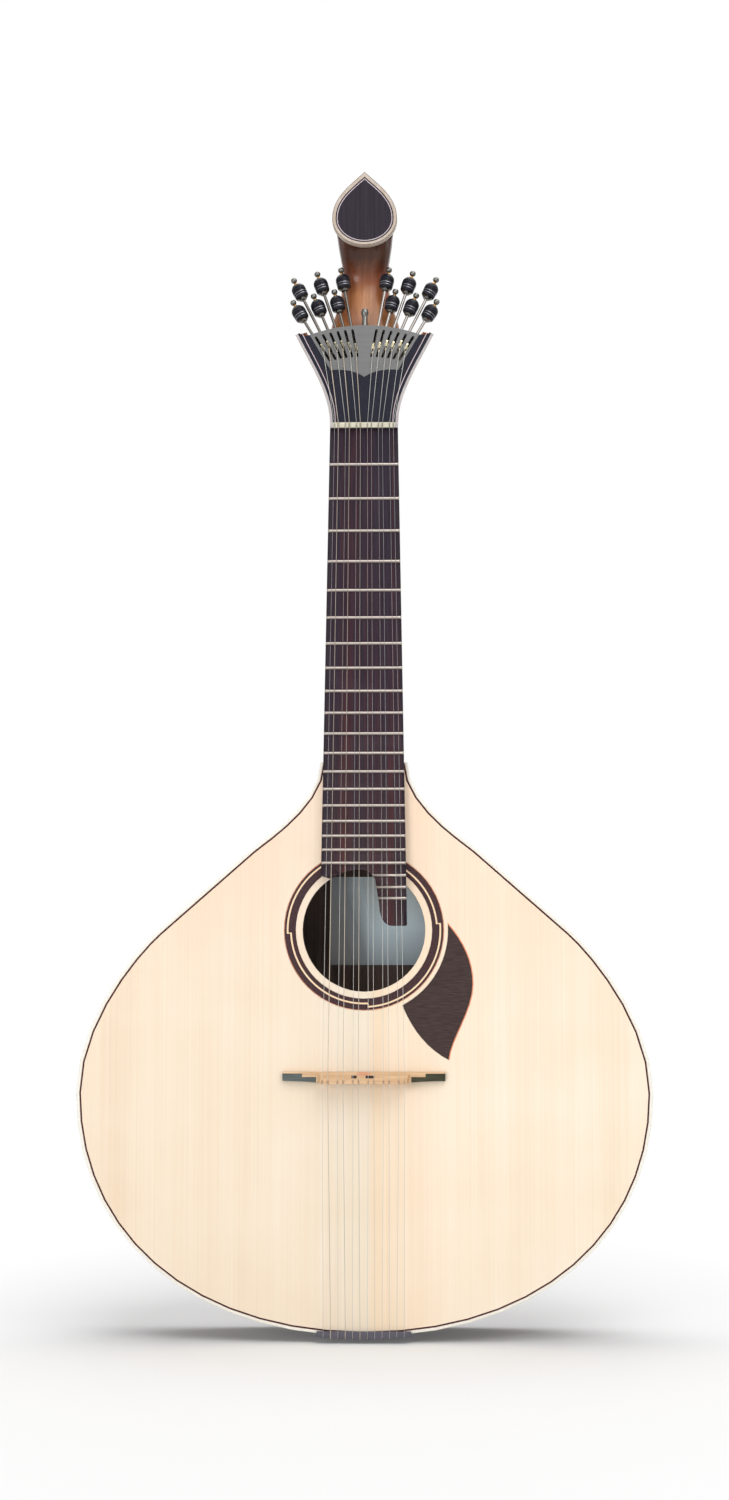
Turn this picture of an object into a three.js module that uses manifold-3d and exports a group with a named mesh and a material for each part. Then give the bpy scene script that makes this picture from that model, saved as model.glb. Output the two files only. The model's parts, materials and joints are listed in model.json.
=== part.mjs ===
// A Portuguese guitar: a pear-shaped body, a slim neck, a head with a fan of twelve tuning
// screws, and a teardrop finial. Millimetres, +Z up along the neck, the front faces -Y, and
// the origin is at the tail, on the centre line, in the plane of the soundboard's face.
//
// Every piece is drawn in the maker's plane (x across, y from the tail to the head, z out of
// the soundboard towards the player's hand), which the last group turns upright.

import * as THREE from 'three';
import { mergeVertices } from 'three/addons/utils/BufferGeometryUtils.js';
import Module from 'manifold-3d';

const wasm = await Module();
wasm.setup();

// Fits
const seatGap = 0.3;
const inlayGap = 0.15;
const turningGap = 0.1;
const overrun = 3;

// Body size, and the neck from the body to the nut
const bodyLength = 403.3;
const bodyHalfWidth = 203.6;
const neckLength = 240.8;

// Strings. The bridge is loose and stands a little up from the end of the scale.
const scaleLength = 470;
const bridgeForward = 2.9;
const nutY = bodyLength + neckLength;
const bridgeY = nutY - scaleLength + bridgeForward;
const courses = 6;
const nutCourseStep = 7.9;
const nutPairStep = 2.8;
const bridgeCourseStep = 10.75;
const bridgePairStep = 3.9;
const tailStringStep = 5.15;
const bassStringRadius = 0.42;
const trebleStringRadius = 0.18;
const stringSides = 6;

// Body outline from the tail to the neck joint, in shares of the half width and the length
const outlineShares = {
  tailReach: 0.614,
  widestY: 0.4186,
  lowerBoutReach: 0.2416,
  upperBoutReach: 0.1324,
  shoulderX: 0.7174,
  shoulderY: 0.7019,
  shoulderReach: 0.0433,
  throatX: 0.3948,
  throatY: 0.8447,
  throatReach: 0.028,
  neckJointReach: 0.0735,
};
const widestY = bodyLength * outlineShares.widestY;
const neckJointHalfWidth = 31;
const tailSteps = 14;
const upperSteps = 7;
const throatSteps = 7;

// Body shell
const topThickness = 2.8;
const backThickness = 3;
const ribThickness = 2.2;
const tailDepth = 84;
const neckDepth = 72;
const crownRise = 2;
const crownDepth = tailDepth + crownRise;
const crownYShare = 0.426;
const crownLandShare = 0.22;
const archShares = [1, 0.86, 0.7, 0.54, 0.38, crownLandShare];
const bindingHeight = 5;
const liningWidth = 8;
const liningLip = 4;
const liningHeight = 14;

// Blocks and bars inside the body
const neckBlockLength = 38;
const neckBlockHalfWidth = 42;
const tailBlockLength = 16;
const tailBlockHalfWidth = 38;
const barThickness = 8;
const topBarHeight = 17;
const backBarHeight = 14;
const barTipHeight = 5;
const barTaper = 45;
const barTaperShare = 0.8;
const barRoomAboveHole = 16;
const topBarRoomBelowHole = 26;
const backBarRoomBelowHole = 14;
const lowerBarShare = 0.293;

// Soundhole, rosette and scratch guard
const holeYShare = 0.7032;
const holeY = bodyLength * holeYShare;
const holeRadius = 43.5;
const topBarPlaces = {
  top_bar_upper: Math.min(
    holeY + holeRadius + barRoomAboveHole, bodyLength - neckBlockLength - barThickness),
  top_bar_middle: holeY - holeRadius - topBarRoomBelowHole,
  top_bar_lower: bodyLength * lowerBarShare,
};
const backBarPlaces = {
  back_bar_upper: holeY - holeRadius - backBarRoomBelowHole,
  back_bar_lower: bodyLength * lowerBarShare,
};
const rosetteInner = 48.4;
const rosetteOuter = 56.8;
const rosetteDepth = 1;
const ringSteps = 28;
const guardRadius = 59.6;
const guardTopAngle = THREE.MathUtils.degToRad(4.9);
const guardLeftAngle = THREE.MathUtils.degToRad(-62.9);
const guardThickness = 0.8;
const guardWidth = 50.3;
const guardHeight = 96.8;
const guardShares = {
  bulgeDrop: 0.445,
  toeBack: 0.342,
  hollowX: 0.222,
  hollowY: 0.284,
  toeX: 0.022,
  toeY: 0.152,
  lowerReach: 0.196,
  upperReach: 0.165,
  tipX: 0.231,
  tipY: 0.135,
};

// Neck and fingerboard
const neckTilt = THREE.MathUtils.degToRad(0.77);
const boardThickness = 6;
const nutHalfWidth = 24.45;
const boardEndHalfWidth = 30.3;
const boardEndRise = 38.4;
const boardEndY = holeY + boardEndRise;
const boardHoleRadius = 43.2;
const boardHoleStart = THREE.MathUtils.degToRad(122.9);
const boardHoleEnd = THREE.MathUtils.degToRad(96);
const extensionHalfWidth = 30.6;
const extensionWidth = 22.6;
const extensionLength = 35.4;
const extensionCorner = 0.9;
const extensionShares = {
  crestReach: 0.13,
  shoulderX: 0.14,
  shoulderY: 0.1,
  startY: 0.07,
  waistX: 0.07,
  waistY: 0.34,
  sideX: 0.13,
  sideY: 0.54,
  bendX: 0.145,
  bendY: 0.7,
  heelX: 0.2,
  heelY: 0.9,
  toeX: 0.33,
  flatX: 0.54,
};
const fretCount = 22;
const fretWidth = 2.2;
const fretHeight = 1;
const fretCrownWidth = 0.9;
const shaftDepthAtNut = 13;
const shaftDepthAtHeel = 16;
const heelLength = 34;
const shaftHalfWidthMargin = 0.25;
const nutLength = 4.8;
const nutRise = 2;
const stringLift = 1.2;

// Bridge
const bridgeHeight = 15;
const bridgeHalfLength = 57.5;
const bridgeWingInset = 1.2;
const bridgeEndInset = 1.7;
const bridgeCrestHalfLength = 30.6;
const bridgeFoot = 8;
const bridgeCrest = 2.2;
const bridgeWingHeight = 5;
const bridgeTipHeight = 3.4;
const bridgeCapLength = 24.2;
const bridgeArchHeight = 1.6;
const bridgeArchHalfLength = 20;
const notchDepth = 0.8;

// Tailpiece
const tailpieceHalfWidth = 33.2;
const tailpieceThickness = 1.5;
const tailpieceDrop = 40;
const tailpieceBarTop = 3.4;
const tailpieceBarY = 3.6;
const tailPinRadius = 1;
const tailPinLength = 3;
const tailPinDrop = 16;
const tailPinStagger = 7;
const pinSides = 8;

// Head plate, measured in its own plane from the nut's upper edge
const headTilt = THREE.MathUtils.degToRad(10);
const headRise = 1;
const headHalfWidth = 50.3;
const headHeight = 68.6;
const headCurveShares = { lowX: 0.02, lowY: 0.33, highX: 0.52, highY: 0.625 };
const earInnerX = 41.9;
const earInnerY = 70.5;
const headBinding = 3;
const veneerThickness = 1.5;
const headDepthAtNut = 15;
const headDepthAtTop = 22;
const headBackInset = 5.5;
const nutFace = 0.4;

// Tuning fan
const fanRadius = 113.2;
const fanTop = 75.9;
const fanHalfWidth = 40;
const fanCornerX = 24.65;
const fanCornerY = 40.8;
const fanPointY = 35.3;
const fanScoopX = 9;
const fanScoopRise = 1.4;
const fanPlateThickness = 1.5;
const fanDepth = 12;
const fanFloor = 1.2;
const fanRail = 3.5;
const fanFloorY = 43;
const fanSideRoom = 1.3;
const slotTopDrop = 2.8;
const slotLength = 22.1;
const slotWidth = 1.9;
const firstSlotX = 8.9;
const slotStep = 5.38;
const firstScrewAngle = THREE.MathUtils.degToRad(10);
const screwAngleStep = THREE.MathUtils.degToRad(3.9);
const screwDepth = 6;
const postHeight = 15;
const postRadius = 1.8;
const postFlare = 2.6;

// Tuning screws, measured along each screw from the fan's top edge
const screwRadius = 1.1;
const screwSides = 10;
const screwTail = 26.4;
const collarRadius = 1.75;
const collarThickness = 0.9;
const knobRadius = 5.2;
const knobLength = 12.6;
const lowerKnobReach = 21.4;
const upperKnobReach = 37.9;
const knobShares = [
  [0.5, -1.16], [0.82, -0.84], [1, -0.56], [0.9, -0.46], [1, -0.36], [1, 0.34], [0.64, 0.84],
];
const bareShankShare = 1.2;
const ballRadius = 2.3;
const ballNeckRadius = 0.9;
const ballReach = 9.7;
// The rail's arc rises and falls across a collar that stands square to a leaning screw
const sagittaShare = 0.35;
const sagittaRoom = sagittaShare * collarRadius
  * Math.tan(firstScrewAngle + (courses - 1) * screwAngleStep);

// Hooks that run on the screws, and their places at rest as shares of the slot from its top
const hookBlockWidth = 3.3;
const hookBlockLength = 4;
const hookBlockDepth = 4.4;
const hookWidth = 1.3;
const hookStem = 2.2;
const hookRise = 4;
const hookLean = 1.9;
const hookElbow = 0.8;
const hookRestShares = [0.7, 0.645, 0.55, 0.56, 0.46, 0.515];

// Stalk and teardrop finial
const tearTipRise = 193.9;
const tearHeight = 54.4;
const tearWidestDrop = 34.7;
const tearTipY = nutY + tearTipRise;
const tearWidestY = tearTipY - tearWidestDrop;
const tearBottomY = tearTipY - tearHeight;
const tearHalfWidth = 23.6;
const tearFaceZ = -12;
const tearRimDepth = 7.5;
const tearDepth = 31;
const tearSag = 3;
const tearBackShares = [
  { size: 0.5, depth: 1, sag: 1 },
  { size: 0.78, depth: 0.8, sag: 0.5 },
  { size: 0.94, depth: 0.5, sag: 0.15 },
];
const tearCurveShares = { shoulderY: 0.47, tipX: 0.42, tipY: 0.73, bottomX: 0.56, bottomY: 0.55 };
const tearFaceShare = 0.9;
const tearFaceThickness = 1;
const tearSteps = 12;
const stalkSides = 16;
const stalkHeight = 75;
const stalkSetBack = 8;
const stalkHalfDepth = 10;
const stalkLean = 0.9;
const stalkShares = [
  { rise: -0.14, set: 0.52, width: 0.52, depth: 0.42, lean: 0.22 },
  { rise: 0, set: 0.38, width: 0.515, depth: 0.6, lean: 0.33 },
  { rise: 0.13, set: -0.2, width: 0.49, depth: 0.76, lean: 0.3 },
  { rise: 0.26, set: -0.6, width: 0.43, depth: 0.84, lean: 0.24 },
  { rise: 0.44, set: -1, width: 0.362, depth: 0.88, lean: 0.08 },
  { rise: 0.6, set: -1.1, width: 0.33, depth: 0.9, lean: -0.12 },
  { rise: 0.7, set: -0.9, width: 0.334, depth: 0.94, lean: -0.36 },
  { rise: 0.8, set: -0.45, width: 0.362, depth: 1.02, lean: -0.6 },
  { rise: 0.9, set: 0.15, width: 0.39, depth: 1.04, lean: -0.82 },
  { rise: 1, set: 1.1, width: 0.41, depth: 1.04, lean: -1 },
];

// Colours, roughness and metalness
const finishes = {
  spruce: [0xf0dcb8, 0.5, 0],
  rosewood: [0x4a2c22, 0.4, 0],
  cedar: [0x9a5a34, 0.4, 0],
  ebony: [0x262630, 0.35, 0],
  fingerboard: [0x463238, 0.5, 0],
  bone: [0xf2e8d0, 0.4, 0],
  lining: [0xd9c39a, 0.7, 0],
  boxwood: [0xdcb98c, 0.5, 0],
  nickel: [0xa9adb0, 0.35, 1],
  darkMetal: [0x55585c, 0.4, 1],
  knob: [0x1b1b20, 0.35, 0],
  brass: [0xc9b37c, 0.3, 1],
  steel: [0xc4c4c6, 0.3, 1],
};

function material(name) {
  const [color, roughness, metalness] = finishes[name];
  return new THREE.MeshStandardMaterial({ color, roughness, metalness });
}

// Solids

function facingOut(geometry) {
  const index = geometry.index.array;
  const at = geometry.attributes.position;
  const corner = (i) => new THREE.Vector3().fromBufferAttribute(at, index[i]);
  let volume = 0;
  for (let i = 0; i < index.length; i += 3) {
    volume += corner(i).dot(corner(i + 1).cross(corner(i + 2)));
  }
  if (volume < 0) {
    for (let i = 0; i < index.length; i += 3) {
      [index[i + 1], index[i + 2]] = [index[i + 2], index[i + 1]];
    }
  }
  return geometry;
}

function toSolid(geometry) {
  const bare = geometry.clone();
  bare.deleteAttribute('normal');
  bare.deleteAttribute('uv');
  const merged = mergeVertices(bare);
  return new wasm.Manifold(new wasm.Mesh({
    numProp: 3,
    vertProperties: new Float32Array(merged.attributes.position.array),
    triVerts: new Uint32Array(merged.index.array),
  }));
}

function toGeometry(solid) {
  const mesh = solid.getMesh();
  const geometry = new THREE.BufferGeometry();
  geometry.setAttribute('position', new THREE.BufferAttribute(mesh.vertProperties, 3));
  geometry.setIndex(new THREE.BufferAttribute(mesh.triVerts, 1));
  return geometry;
}

const joined = (...pieces) => toGeometry(pieces.map(toSolid).reduce((a, b) => a.add(b)));
const common = (...pieces) => toGeometry(pieces.map(toSolid).reduce((a, b) => a.intersect(b)));
const cut = (piece, ...tools) => toGeometry(
  tools.map(toSolid).reduce((rest, tool) => rest.subtract(tool), toSolid(piece)));

// A skin over rings of as many points each, closed by fans at its ends or into a loop
function loft(rings, loop = false) {
  const sides = rings[0].length;
  const points = rings.flat();
  const index = [];
  const spans = loop ? rings.length : rings.length - 1;
  for (let i = 0; i < spans; i += 1) {
    const a = i * sides;
    const b = ((i + 1) % rings.length) * sides;
    for (let j = 0; j < sides; j += 1) {
      const k = (j + 1) % sides;
      index.push(a + j, a + k, b + k, a + j, b + k, b + j);
    }
  }
  if (!loop) {
    for (const [first, turned] of [[0, true], [(rings.length - 1) * sides, false]]) {
      const middle = points.length;
      const ring = points.slice(first, first + sides);
      points.push(ring.reduce((sum, p) => sum.add(p), new THREE.Vector3()).divideScalar(sides));
      for (let j = 0; j < sides; j += 1) {
        const k = (j + 1) % sides;
        index.push(middle, ...(turned ? [first + k, first + j] : [first + j, first + k]));
      }
    }
  }
  const geometry = new THREE.BufferGeometry().setFromPoints(points);
  geometry.setIndex(index);
  return facingOut(geometry);
}

// A flat outline made solid between two heights
function slab(shape, low, high, curveSegments = 10) {
  const depth = high - low;
  const geometry = new THREE.ExtrudeGeometry(shape, { depth, curveSegments, bevelEnabled: false });
  return geometry.translate(0, 0, low);
}

// A side profile, drawn as (y, z), made solid across x
function acrossX(profile, halfWidth) {
  const swap = new THREE.Matrix4().set(0, 0, 1, 0, 1, 0, 0, 0, 0, 1, 0, 0, 0, 0, 0, 1);
  const shape = new THREE.Shape(profile.map(([y, z]) => new THREE.Vector2(y, z)));
  return slab(shape, -halfWidth, halfWidth).applyMatrix4(swap);
}

// A front profile, drawn as (x, z), made solid along y
function alongY(shape, low, high) {
  const turned = new THREE.Matrix4().set(1, 0, 0, 0, 0, 0, -1, 0, 0, 1, 0, 0, 0, 0, 0, 1);
  return slab(shape, -high, -low).applyMatrix4(turned);
}

// A round rod through a list of points
function rod(points, radius, sides) {
  const across = new THREE.Vector3(1, 0, 0);
  const rings = points.map((point, i) => {
    const back = point.clone().sub(points[Math.max(i - 1, 0)]).normalize();
    const ahead = points[Math.min(i + 1, points.length - 1)].clone().sub(point).normalize();
    const along = back.add(ahead).normalize();
    const up = along.clone().cross(across).normalize();
    const side = up.clone().cross(along).normalize();
    return Array.from({ length: sides }, (_, k) => {
      const angle = (2 * Math.PI * k) / sides;
      return point.clone()
        .addScaledVector(side, radius * Math.cos(angle))
        .addScaledVector(up, radius * Math.sin(angle));
    });
  });
  return loft(rings);
}

// The radius of a many-sided hole whose flats clear a shaft by the turning gap
const holeFor = (radius, sides) => (radius + turningGap) / Math.cos(Math.PI / sides);

const pieces = new THREE.Group();

function add(parent, name, finish, geometry) {
  const mesh = new THREE.Mesh(geometry, material(finish));
  mesh.name = name;
  parent.add(mesh);
  return mesh;
}

// Body outline

function outlineStations() {
  const across = (share) => bodyHalfWidth * share;
  const up = (share) => bodyLength * share;
  const shares = outlineShares;
  const shoulder = new THREE.Vector2(across(shares.shoulderX), up(shares.shoulderY));
  const throat = new THREE.Vector2(across(shares.throatX), up(shares.throatY));
  const uphill = throat.clone().sub(shoulder).normalize();
  const widest = new THREE.Vector2(bodyHalfWidth, widestY);
  const joint = new THREE.Vector2(neckJointHalfWidth, bodyLength);
  const parts = [
    [new THREE.CubicBezierCurve(
      new THREE.Vector2(0, 0),
      new THREE.Vector2(across(shares.tailReach), 0),
      new THREE.Vector2(bodyHalfWidth, widestY - up(shares.lowerBoutReach)),
      widest), tailSteps],
    [new THREE.CubicBezierCurve(
      widest,
      new THREE.Vector2(bodyHalfWidth, widestY + up(shares.upperBoutReach)),
      shoulder.clone().addScaledVector(uphill, -up(shares.shoulderReach)),
      shoulder), upperSteps],
    [new THREE.LineCurve(shoulder, throat), 1],
    [new THREE.CubicBezierCurve(
      throat,
      throat.clone().addScaledVector(uphill, up(shares.throatReach)),
      joint.clone().setY(bodyLength - up(shares.neckJointReach)),
      joint), throatSteps],
  ];
  return parts.flatMap(([curve, steps], part) => {
    const first = part === 0 ? 0 : 1;
    return Array.from({ length: steps + 1 - first }, (_, i) => {
      const t = (i + first) / steps;
      const tangent = curve.getTangent(t);
      return { point: curve.getPoint(t), out: new THREE.Vector2(tangent.y, -tangent.x) };
    });
  });
}

const outline = outlineStations();

// Half of the outline, drawn in by an inset, from the tail up to a height. Loops that are
// to be joined into sections take their stations from the same inset.
function halfLoop(inset, topY = bodyLength, stationInset = inset) {
  const drawn = (by) => outline.map(({ point, out }) => point.clone().addScaledVector(out, -by));
  const half = drawn(inset);
  half.push(new THREE.Vector2(half[half.length - 1].x, bodyLength + liningWidth));
  const count = drawn(stationInset).filter((p) => p.y < topY).length;
  const next = half.findIndex((p) => p.y >= topY);
  const [a, b] = [half[next - 1], half[next]];
  return [...half.slice(0, count), a.clone().lerp(b, (topY - a.y) / (b.y - a.y)).setY(topY)];
}

// The whole outline, from the neck down the bass side, round the tail and up again
function bodyLoop(inset, topY = bodyLength, stationInset = inset) {
  const half = halfLoop(inset, topY, stationInset);
  const mirrored = half.slice(1).map((p) => new THREE.Vector2(-p.x, p.y));
  return [...mirrored.reverse(), ...half];
}

// Four-cornered sections all along the outline, between two insets
function bandSections(outerInset, innerInset, topY, edge, innerFoot, outerFoot) {
  const outer = bodyLoop(outerInset, topY);
  const inner = bodyLoop(innerInset, topY, outerInset);
  return outer.map((p, i) => [
    new THREE.Vector3(p.x, p.y, edge(p.y)),
    new THREE.Vector3(inner[i].x, inner[i].y, edge(inner[i].y)),
    new THREE.Vector3(inner[i].x, inner[i].y, innerFoot(inner[i].y)),
    new THREE.Vector3(p.x, p.y, outerFoot(p.y)),
  ]);
}

// Half the width inside the outline at a height
function halfWidthAt(y, inset) {
  const half = halfLoop(inset);
  const above = half.findIndex((p, i) => i > 0 && p.y >= y && half[i - 1].y < y);
  const [a, b] = [half[above - 1], half[above]];
  return a.x + ((b.x - a.x) * (y - a.y)) / (b.y - a.y);
}

const rimDepth = (y) => tailDepth + ((neckDepth - tailDepth) * y) / bodyLength;
const ribFoot = (y) => -(rimDepth(y) - backThickness - seatGap);
const underTop = -(topThickness + seatGap);

// The arched back as a solid between two depths below its outer face
function archedBack(near, far, inset = 0) {
  const loop = bodyLoop(inset);
  const crownY = bodyLength * crownYShare;
  const ring = (share, shift) => loop.map((p) => {
    const landShare = crownLandShare ** 2;
    const fall = (share ** 2 - landShare) / (1 - landShare);
    const depth = crownDepth + (rimDepth(p.y) - crownDepth) * fall;
    return new THREE.Vector3(p.x * share, crownY + (p.y - crownY) * share, shift - depth);
  });
  const inner = [...archShares].reverse().map((share) => ring(share, near));
  const outer = archShares.map((share) => ring(share, far));
  return loft([...inner, ...outer]);
}

// All that lies behind the back's inner face, to fit the inside pieces to its arch
const behindBack = archedBack(backThickness + seatGap, -crownDepth);

function circle(radius, centreY) {
  return new THREE.Path().absarc(0, centreY, radius, 0, 2 * Math.PI, true);
}

function ringShape(outer, inner, centreY) {
  const shape = new THREE.Shape().absarc(0, centreY, outer, 0, 2 * Math.PI, false);
  shape.holes.push(circle(inner, centreY));
  return shape;
}

// A closed outline moved inwards by an inset, whichever way it runs
function drawnIn(points, inset) {
  const way = THREE.ShapeUtils.isClockWise(points) ? -1 : 1;
  return points.map((p, i) => {
    const before = points[(i + points.length - 1) % points.length];
    const after = points[(i + 1) % points.length];
    const a = p.clone().sub(before).normalize();
    const b = after.clone().sub(p).normalize();
    const along = a.clone().add(b).normalize();
    const inward = new THREE.Vector2(-along.y, along.x).multiplyScalar(way);
    return p.clone().addScaledVector(inward, inset / along.dot(b));
  });
}

// The scratch guard: concentric with the rosette, with an ogee edge on the treble side
function guardShape(inset) {
  const rim = (angle) => new THREE.Vector2(
    guardRadius * Math.cos(angle), holeY + guardRadius * Math.sin(angle));
  const tip = rim(guardTopAngle);
  const left = rim(guardLeftAngle);
  const shares = guardShares;
  const bulge = new THREE.Vector2(left.x + guardWidth, tip.y - guardHeight * shares.bulgeDrop);
  const toe = new THREE.Vector2(bulge.x - guardWidth * shares.toeBack, tip.y - guardHeight);
  const shape = new THREE.Shape();
  shape.moveTo(tip.x, tip.y);
  shape.absarc(0, holeY, guardRadius, guardTopAngle, guardLeftAngle, true);
  shape.quadraticCurveTo(
    left.x + guardWidth * shares.hollowX, left.y - guardHeight * shares.hollowY, toe.x, toe.y);
  shape.bezierCurveTo(
    toe.x + guardWidth * shares.toeX, toe.y + guardHeight * shares.toeY,
    bulge.x, bulge.y - guardHeight * shares.lowerReach, bulge.x, bulge.y);
  shape.bezierCurveTo(
    bulge.x, bulge.y + guardHeight * shares.upperReach,
    tip.x + guardWidth * shares.tipX, tip.y - guardHeight * shares.tipY, tip.x, tip.y);
  const points = shape.getPoints(8).slice(0, -1);
  return new THREE.Shape(drawnIn(points, inset));
}

function makeBody() {
  const topLoop = bodyLoop(ribThickness + inlayGap, bodyLength - seatGap);
  const topShape = new THREE.Shape(topLoop);
  topShape.holes.push(circle(holeRadius, holeY));
  const rosetteBed = slab(ringShape(rosetteOuter, rosetteInner, holeY),
    -rosetteDepth - inlayGap, overrun, ringSteps);
  const guardBed = slab(guardShape(0), -guardThickness - inlayGap, overrun);
  add(pieces, 'soundboard', 'spruce',
    cut(slab(topShape, -topThickness, 0, ringSteps), rosetteBed, guardBed));
  add(pieces, 'rosette', 'rosewood',
    slab(ringShape(rosetteOuter - inlayGap, rosetteInner + inlayGap, holeY),
      -rosetteDepth, 0, ringSteps));
  add(pieces, 'scratch_guard', 'rosewood', slab(guardShape(inlayGap), -guardThickness, 0));
  add(pieces, 'back', 'rosewood', archedBack(backThickness, 0));

  add(pieces, 'edge_binding', 'bone', loft(bandSections(
    0, ribThickness, bodyLength, () => 0, () => -bindingHeight, () => -bindingHeight)));

  const ribHead = () => -bindingHeight - seatGap;
  const ribs = bandSections(0, ribThickness, bodyLength, ribHead, ribFoot, ribFoot);
  const half = (ribs.length - 1) / 2;
  const split = (side) => ribs[half].map((p) => p.clone().setX((side * seatGap) / 2));
  add(pieces, 'rib_bass', 'rosewood', loft([...ribs.slice(0, half), split(-1)]));
  add(pieces, 'rib_treble', 'rosewood', loft([split(1), ...ribs.slice(half + 1)]));

  const liningTopY = bodyLength - neckBlockLength - seatGap;
  const outerInset = ribThickness + seatGap;
  const innerInset = outerInset + liningWidth;
  const underRim = () => underTop;
  add(pieces, 'lining_top', 'lining', loft(bandSections(
    outerInset, innerInset, liningTopY, underRim,
    () => underTop - liningLip, () => underTop - liningHeight)));
  add(pieces, 'lining_back', 'lining', loft(bandSections(
    outerInset, innerInset, liningTopY, ribFoot,
    (y) => ribFoot(y) + liningLip, (y) => ribFoot(y) + liningHeight)));

  const liningRoom = (edge, away) => {
    const far = (y) => edge(y) + away * (liningHeight + seatGap);
    return loft(bandSections(
      0, innerInset + seatGap, liningTopY, (y) => edge(y) - away * overrun, far, far));
  };
  const tailPlan = new THREE.Shape(bodyLoop(outerInset, widestY));
  const tailRegion = new THREE.Shape([
    new THREE.Vector2(-tailBlockHalfWidth, -overrun),
    new THREE.Vector2(tailBlockHalfWidth, -overrun),
    new THREE.Vector2(tailBlockHalfWidth, tailBlockLength),
    new THREE.Vector2(-tailBlockHalfWidth, tailBlockLength),
  ]);
  add(pieces, 'tail_block', 'lining', cut(
    common(slab(tailPlan, -crownDepth, underTop), slab(tailRegion, -crownDepth, underTop)),
    behindBack,
    liningRoom(underRim, -1),
    liningRoom(ribFoot, 1)));
}

// A bar across the body, thinned to its tips
function bar(y, outerZ, height, away) {
  const reach = Math.min(
    halfWidthAt(y - barThickness / 2, ribThickness + liningWidth + 2 * seatGap),
    halfWidthAt(y + barThickness / 2, ribThickness + liningWidth + 2 * seatGap)) - seatGap;
  const taper = Math.min(barTaper, reach * barTaperShare);
  const shape = new THREE.Shape([
    [-reach, 0], [reach, 0], [reach, barTipHeight], [reach - taper, height],
    [taper - reach, height], [-reach, barTipHeight],
  ].map(([x, z]) => new THREE.Vector2(x, outerZ + away * z)));
  return alongY(shape, y - barThickness / 2, y + barThickness / 2);
}

function makeBars() {
  for (const [name, y] of Object.entries(topBarPlaces)) {
    add(pieces, name, 'spruce', bar(y, underTop, topBarHeight, -1));
  }
  for (const [name, y] of Object.entries(backBarPlaces)) {
    const blank = bar(y, -crownDepth, backBarHeight + crownDepth - rimDepth(y), 1);
    add(pieces, name, 'spruce', cut(blank, behindBack));
  }
}

// Neck and fingerboard

const neckFrontZ = (y) => -(y - bodyLength) * Math.tan(neckTilt);
const boardTopZ = (y) => neckFrontZ(y) + seatGap + boardThickness;
const boardHalfWidth = (y) => boardEndHalfWidth
  + ((nutHalfWidth - boardEndHalfWidth) * (y - boardEndY)) / (nutY - boardEndY);

function boardShape() {
  const edge = extensionHalfWidth - extensionWidth;
  const shares = extensionShares;
  const at = (x, y) => [edge + extensionWidth * x, boardEndY - extensionLength * y];
  const toe = boardEndY - extensionLength;
  const crest = new THREE.Vector2(
    boardHoleRadius * Math.cos(boardHoleEnd), holeY + boardHoleRadius * Math.sin(boardHoleEnd));
  const shape = new THREE.Shape();
  shape.moveTo(-nutHalfWidth, nutY);
  shape.lineTo(-boardEndHalfWidth, boardEndY);
  shape.absarc(0, holeY, boardHoleRadius, boardHoleStart, boardHoleEnd, true);
  shape.bezierCurveTo(
    crest.x + extensionLength * shares.crestReach, crest.y,
    edge - extensionWidth * shares.shoulderX, boardEndY + extensionLength * shares.shoulderY,
    ...at(0, shares.startY));
  shape.bezierCurveTo(
    ...at(shares.waistX, shares.waistY),
    ...at(shares.sideX, shares.sideY),
    ...at(shares.bendX, shares.bendY));
  shape.bezierCurveTo(
    ...at(shares.heelX, shares.heelY),
    edge + extensionWidth * shares.toeX, toe,
    edge + extensionWidth * shares.flatX, toe);
  shape.lineTo(extensionHalfWidth - extensionCorner, toe);
  shape.lineTo(extensionHalfWidth, toe + extensionCorner);
  shape.lineTo(nutHalfWidth, nutY);
  return shape;
}

function makeFingerboard() {
  const toe = boardEndY - extensionLength;
  const plan = slab(boardShape(), -overrun - boardThickness, overrun + bridgeHeight);
  const side = acrossX([
    [toe - overrun, seatGap],
    [bodyLength, seatGap],
    [nutY, neckFrontZ(nutY) + seatGap],
    [nutY, boardTopZ(nutY)],
    [toe - overrun, boardTopZ(toe - overrun)],
  ], boardEndHalfWidth + overrun);
  const frets = Array.from({ length: fretCount }, (_, i) => {
    const y = nutY - scaleLength * (1 - 2 ** (-(i + 1) / 12));
    const z = boardTopZ(y);
    return acrossX([
      [y - fretWidth / 2, z - fretHeight / 2],
      [y + fretWidth / 2, z - fretHeight / 2],
      [y + fretWidth / 2, z + fretHeight / 3],
      [y + fretCrownWidth / 2, z + fretHeight],
      [y - fretCrownWidth / 2, z + fretHeight],
      [y - fretWidth / 2, z + fretHeight / 3],
    ], boardEndHalfWidth + overrun);
  });
  const board = common(plan, side);
  add(pieces, 'fingerboard', 'fingerboard', joined(board, common(joined(...frets), plan)));
}

// The x of each string, bass to treble, at the nut, the bridge and the tail
const stringCount = 2 * courses;
const pairX = (i, courseStep, pairStep) => {
  const course = Math.floor(i / 2) - (courses - 1) / 2;
  return course * courseStep + (i % 2 === 0 ? -pairStep : pairStep) / 2;
};
const stringRadius = (i) => {
  const course = Math.floor(i / 2) / (courses - 1);
  return bassStringRadius + (trebleStringRadius - bassStringRadius) * course;
};
const nutStringZ = boardTopZ(nutY) + stringLift;
const nutTopY = nutY + nutLength;

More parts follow.
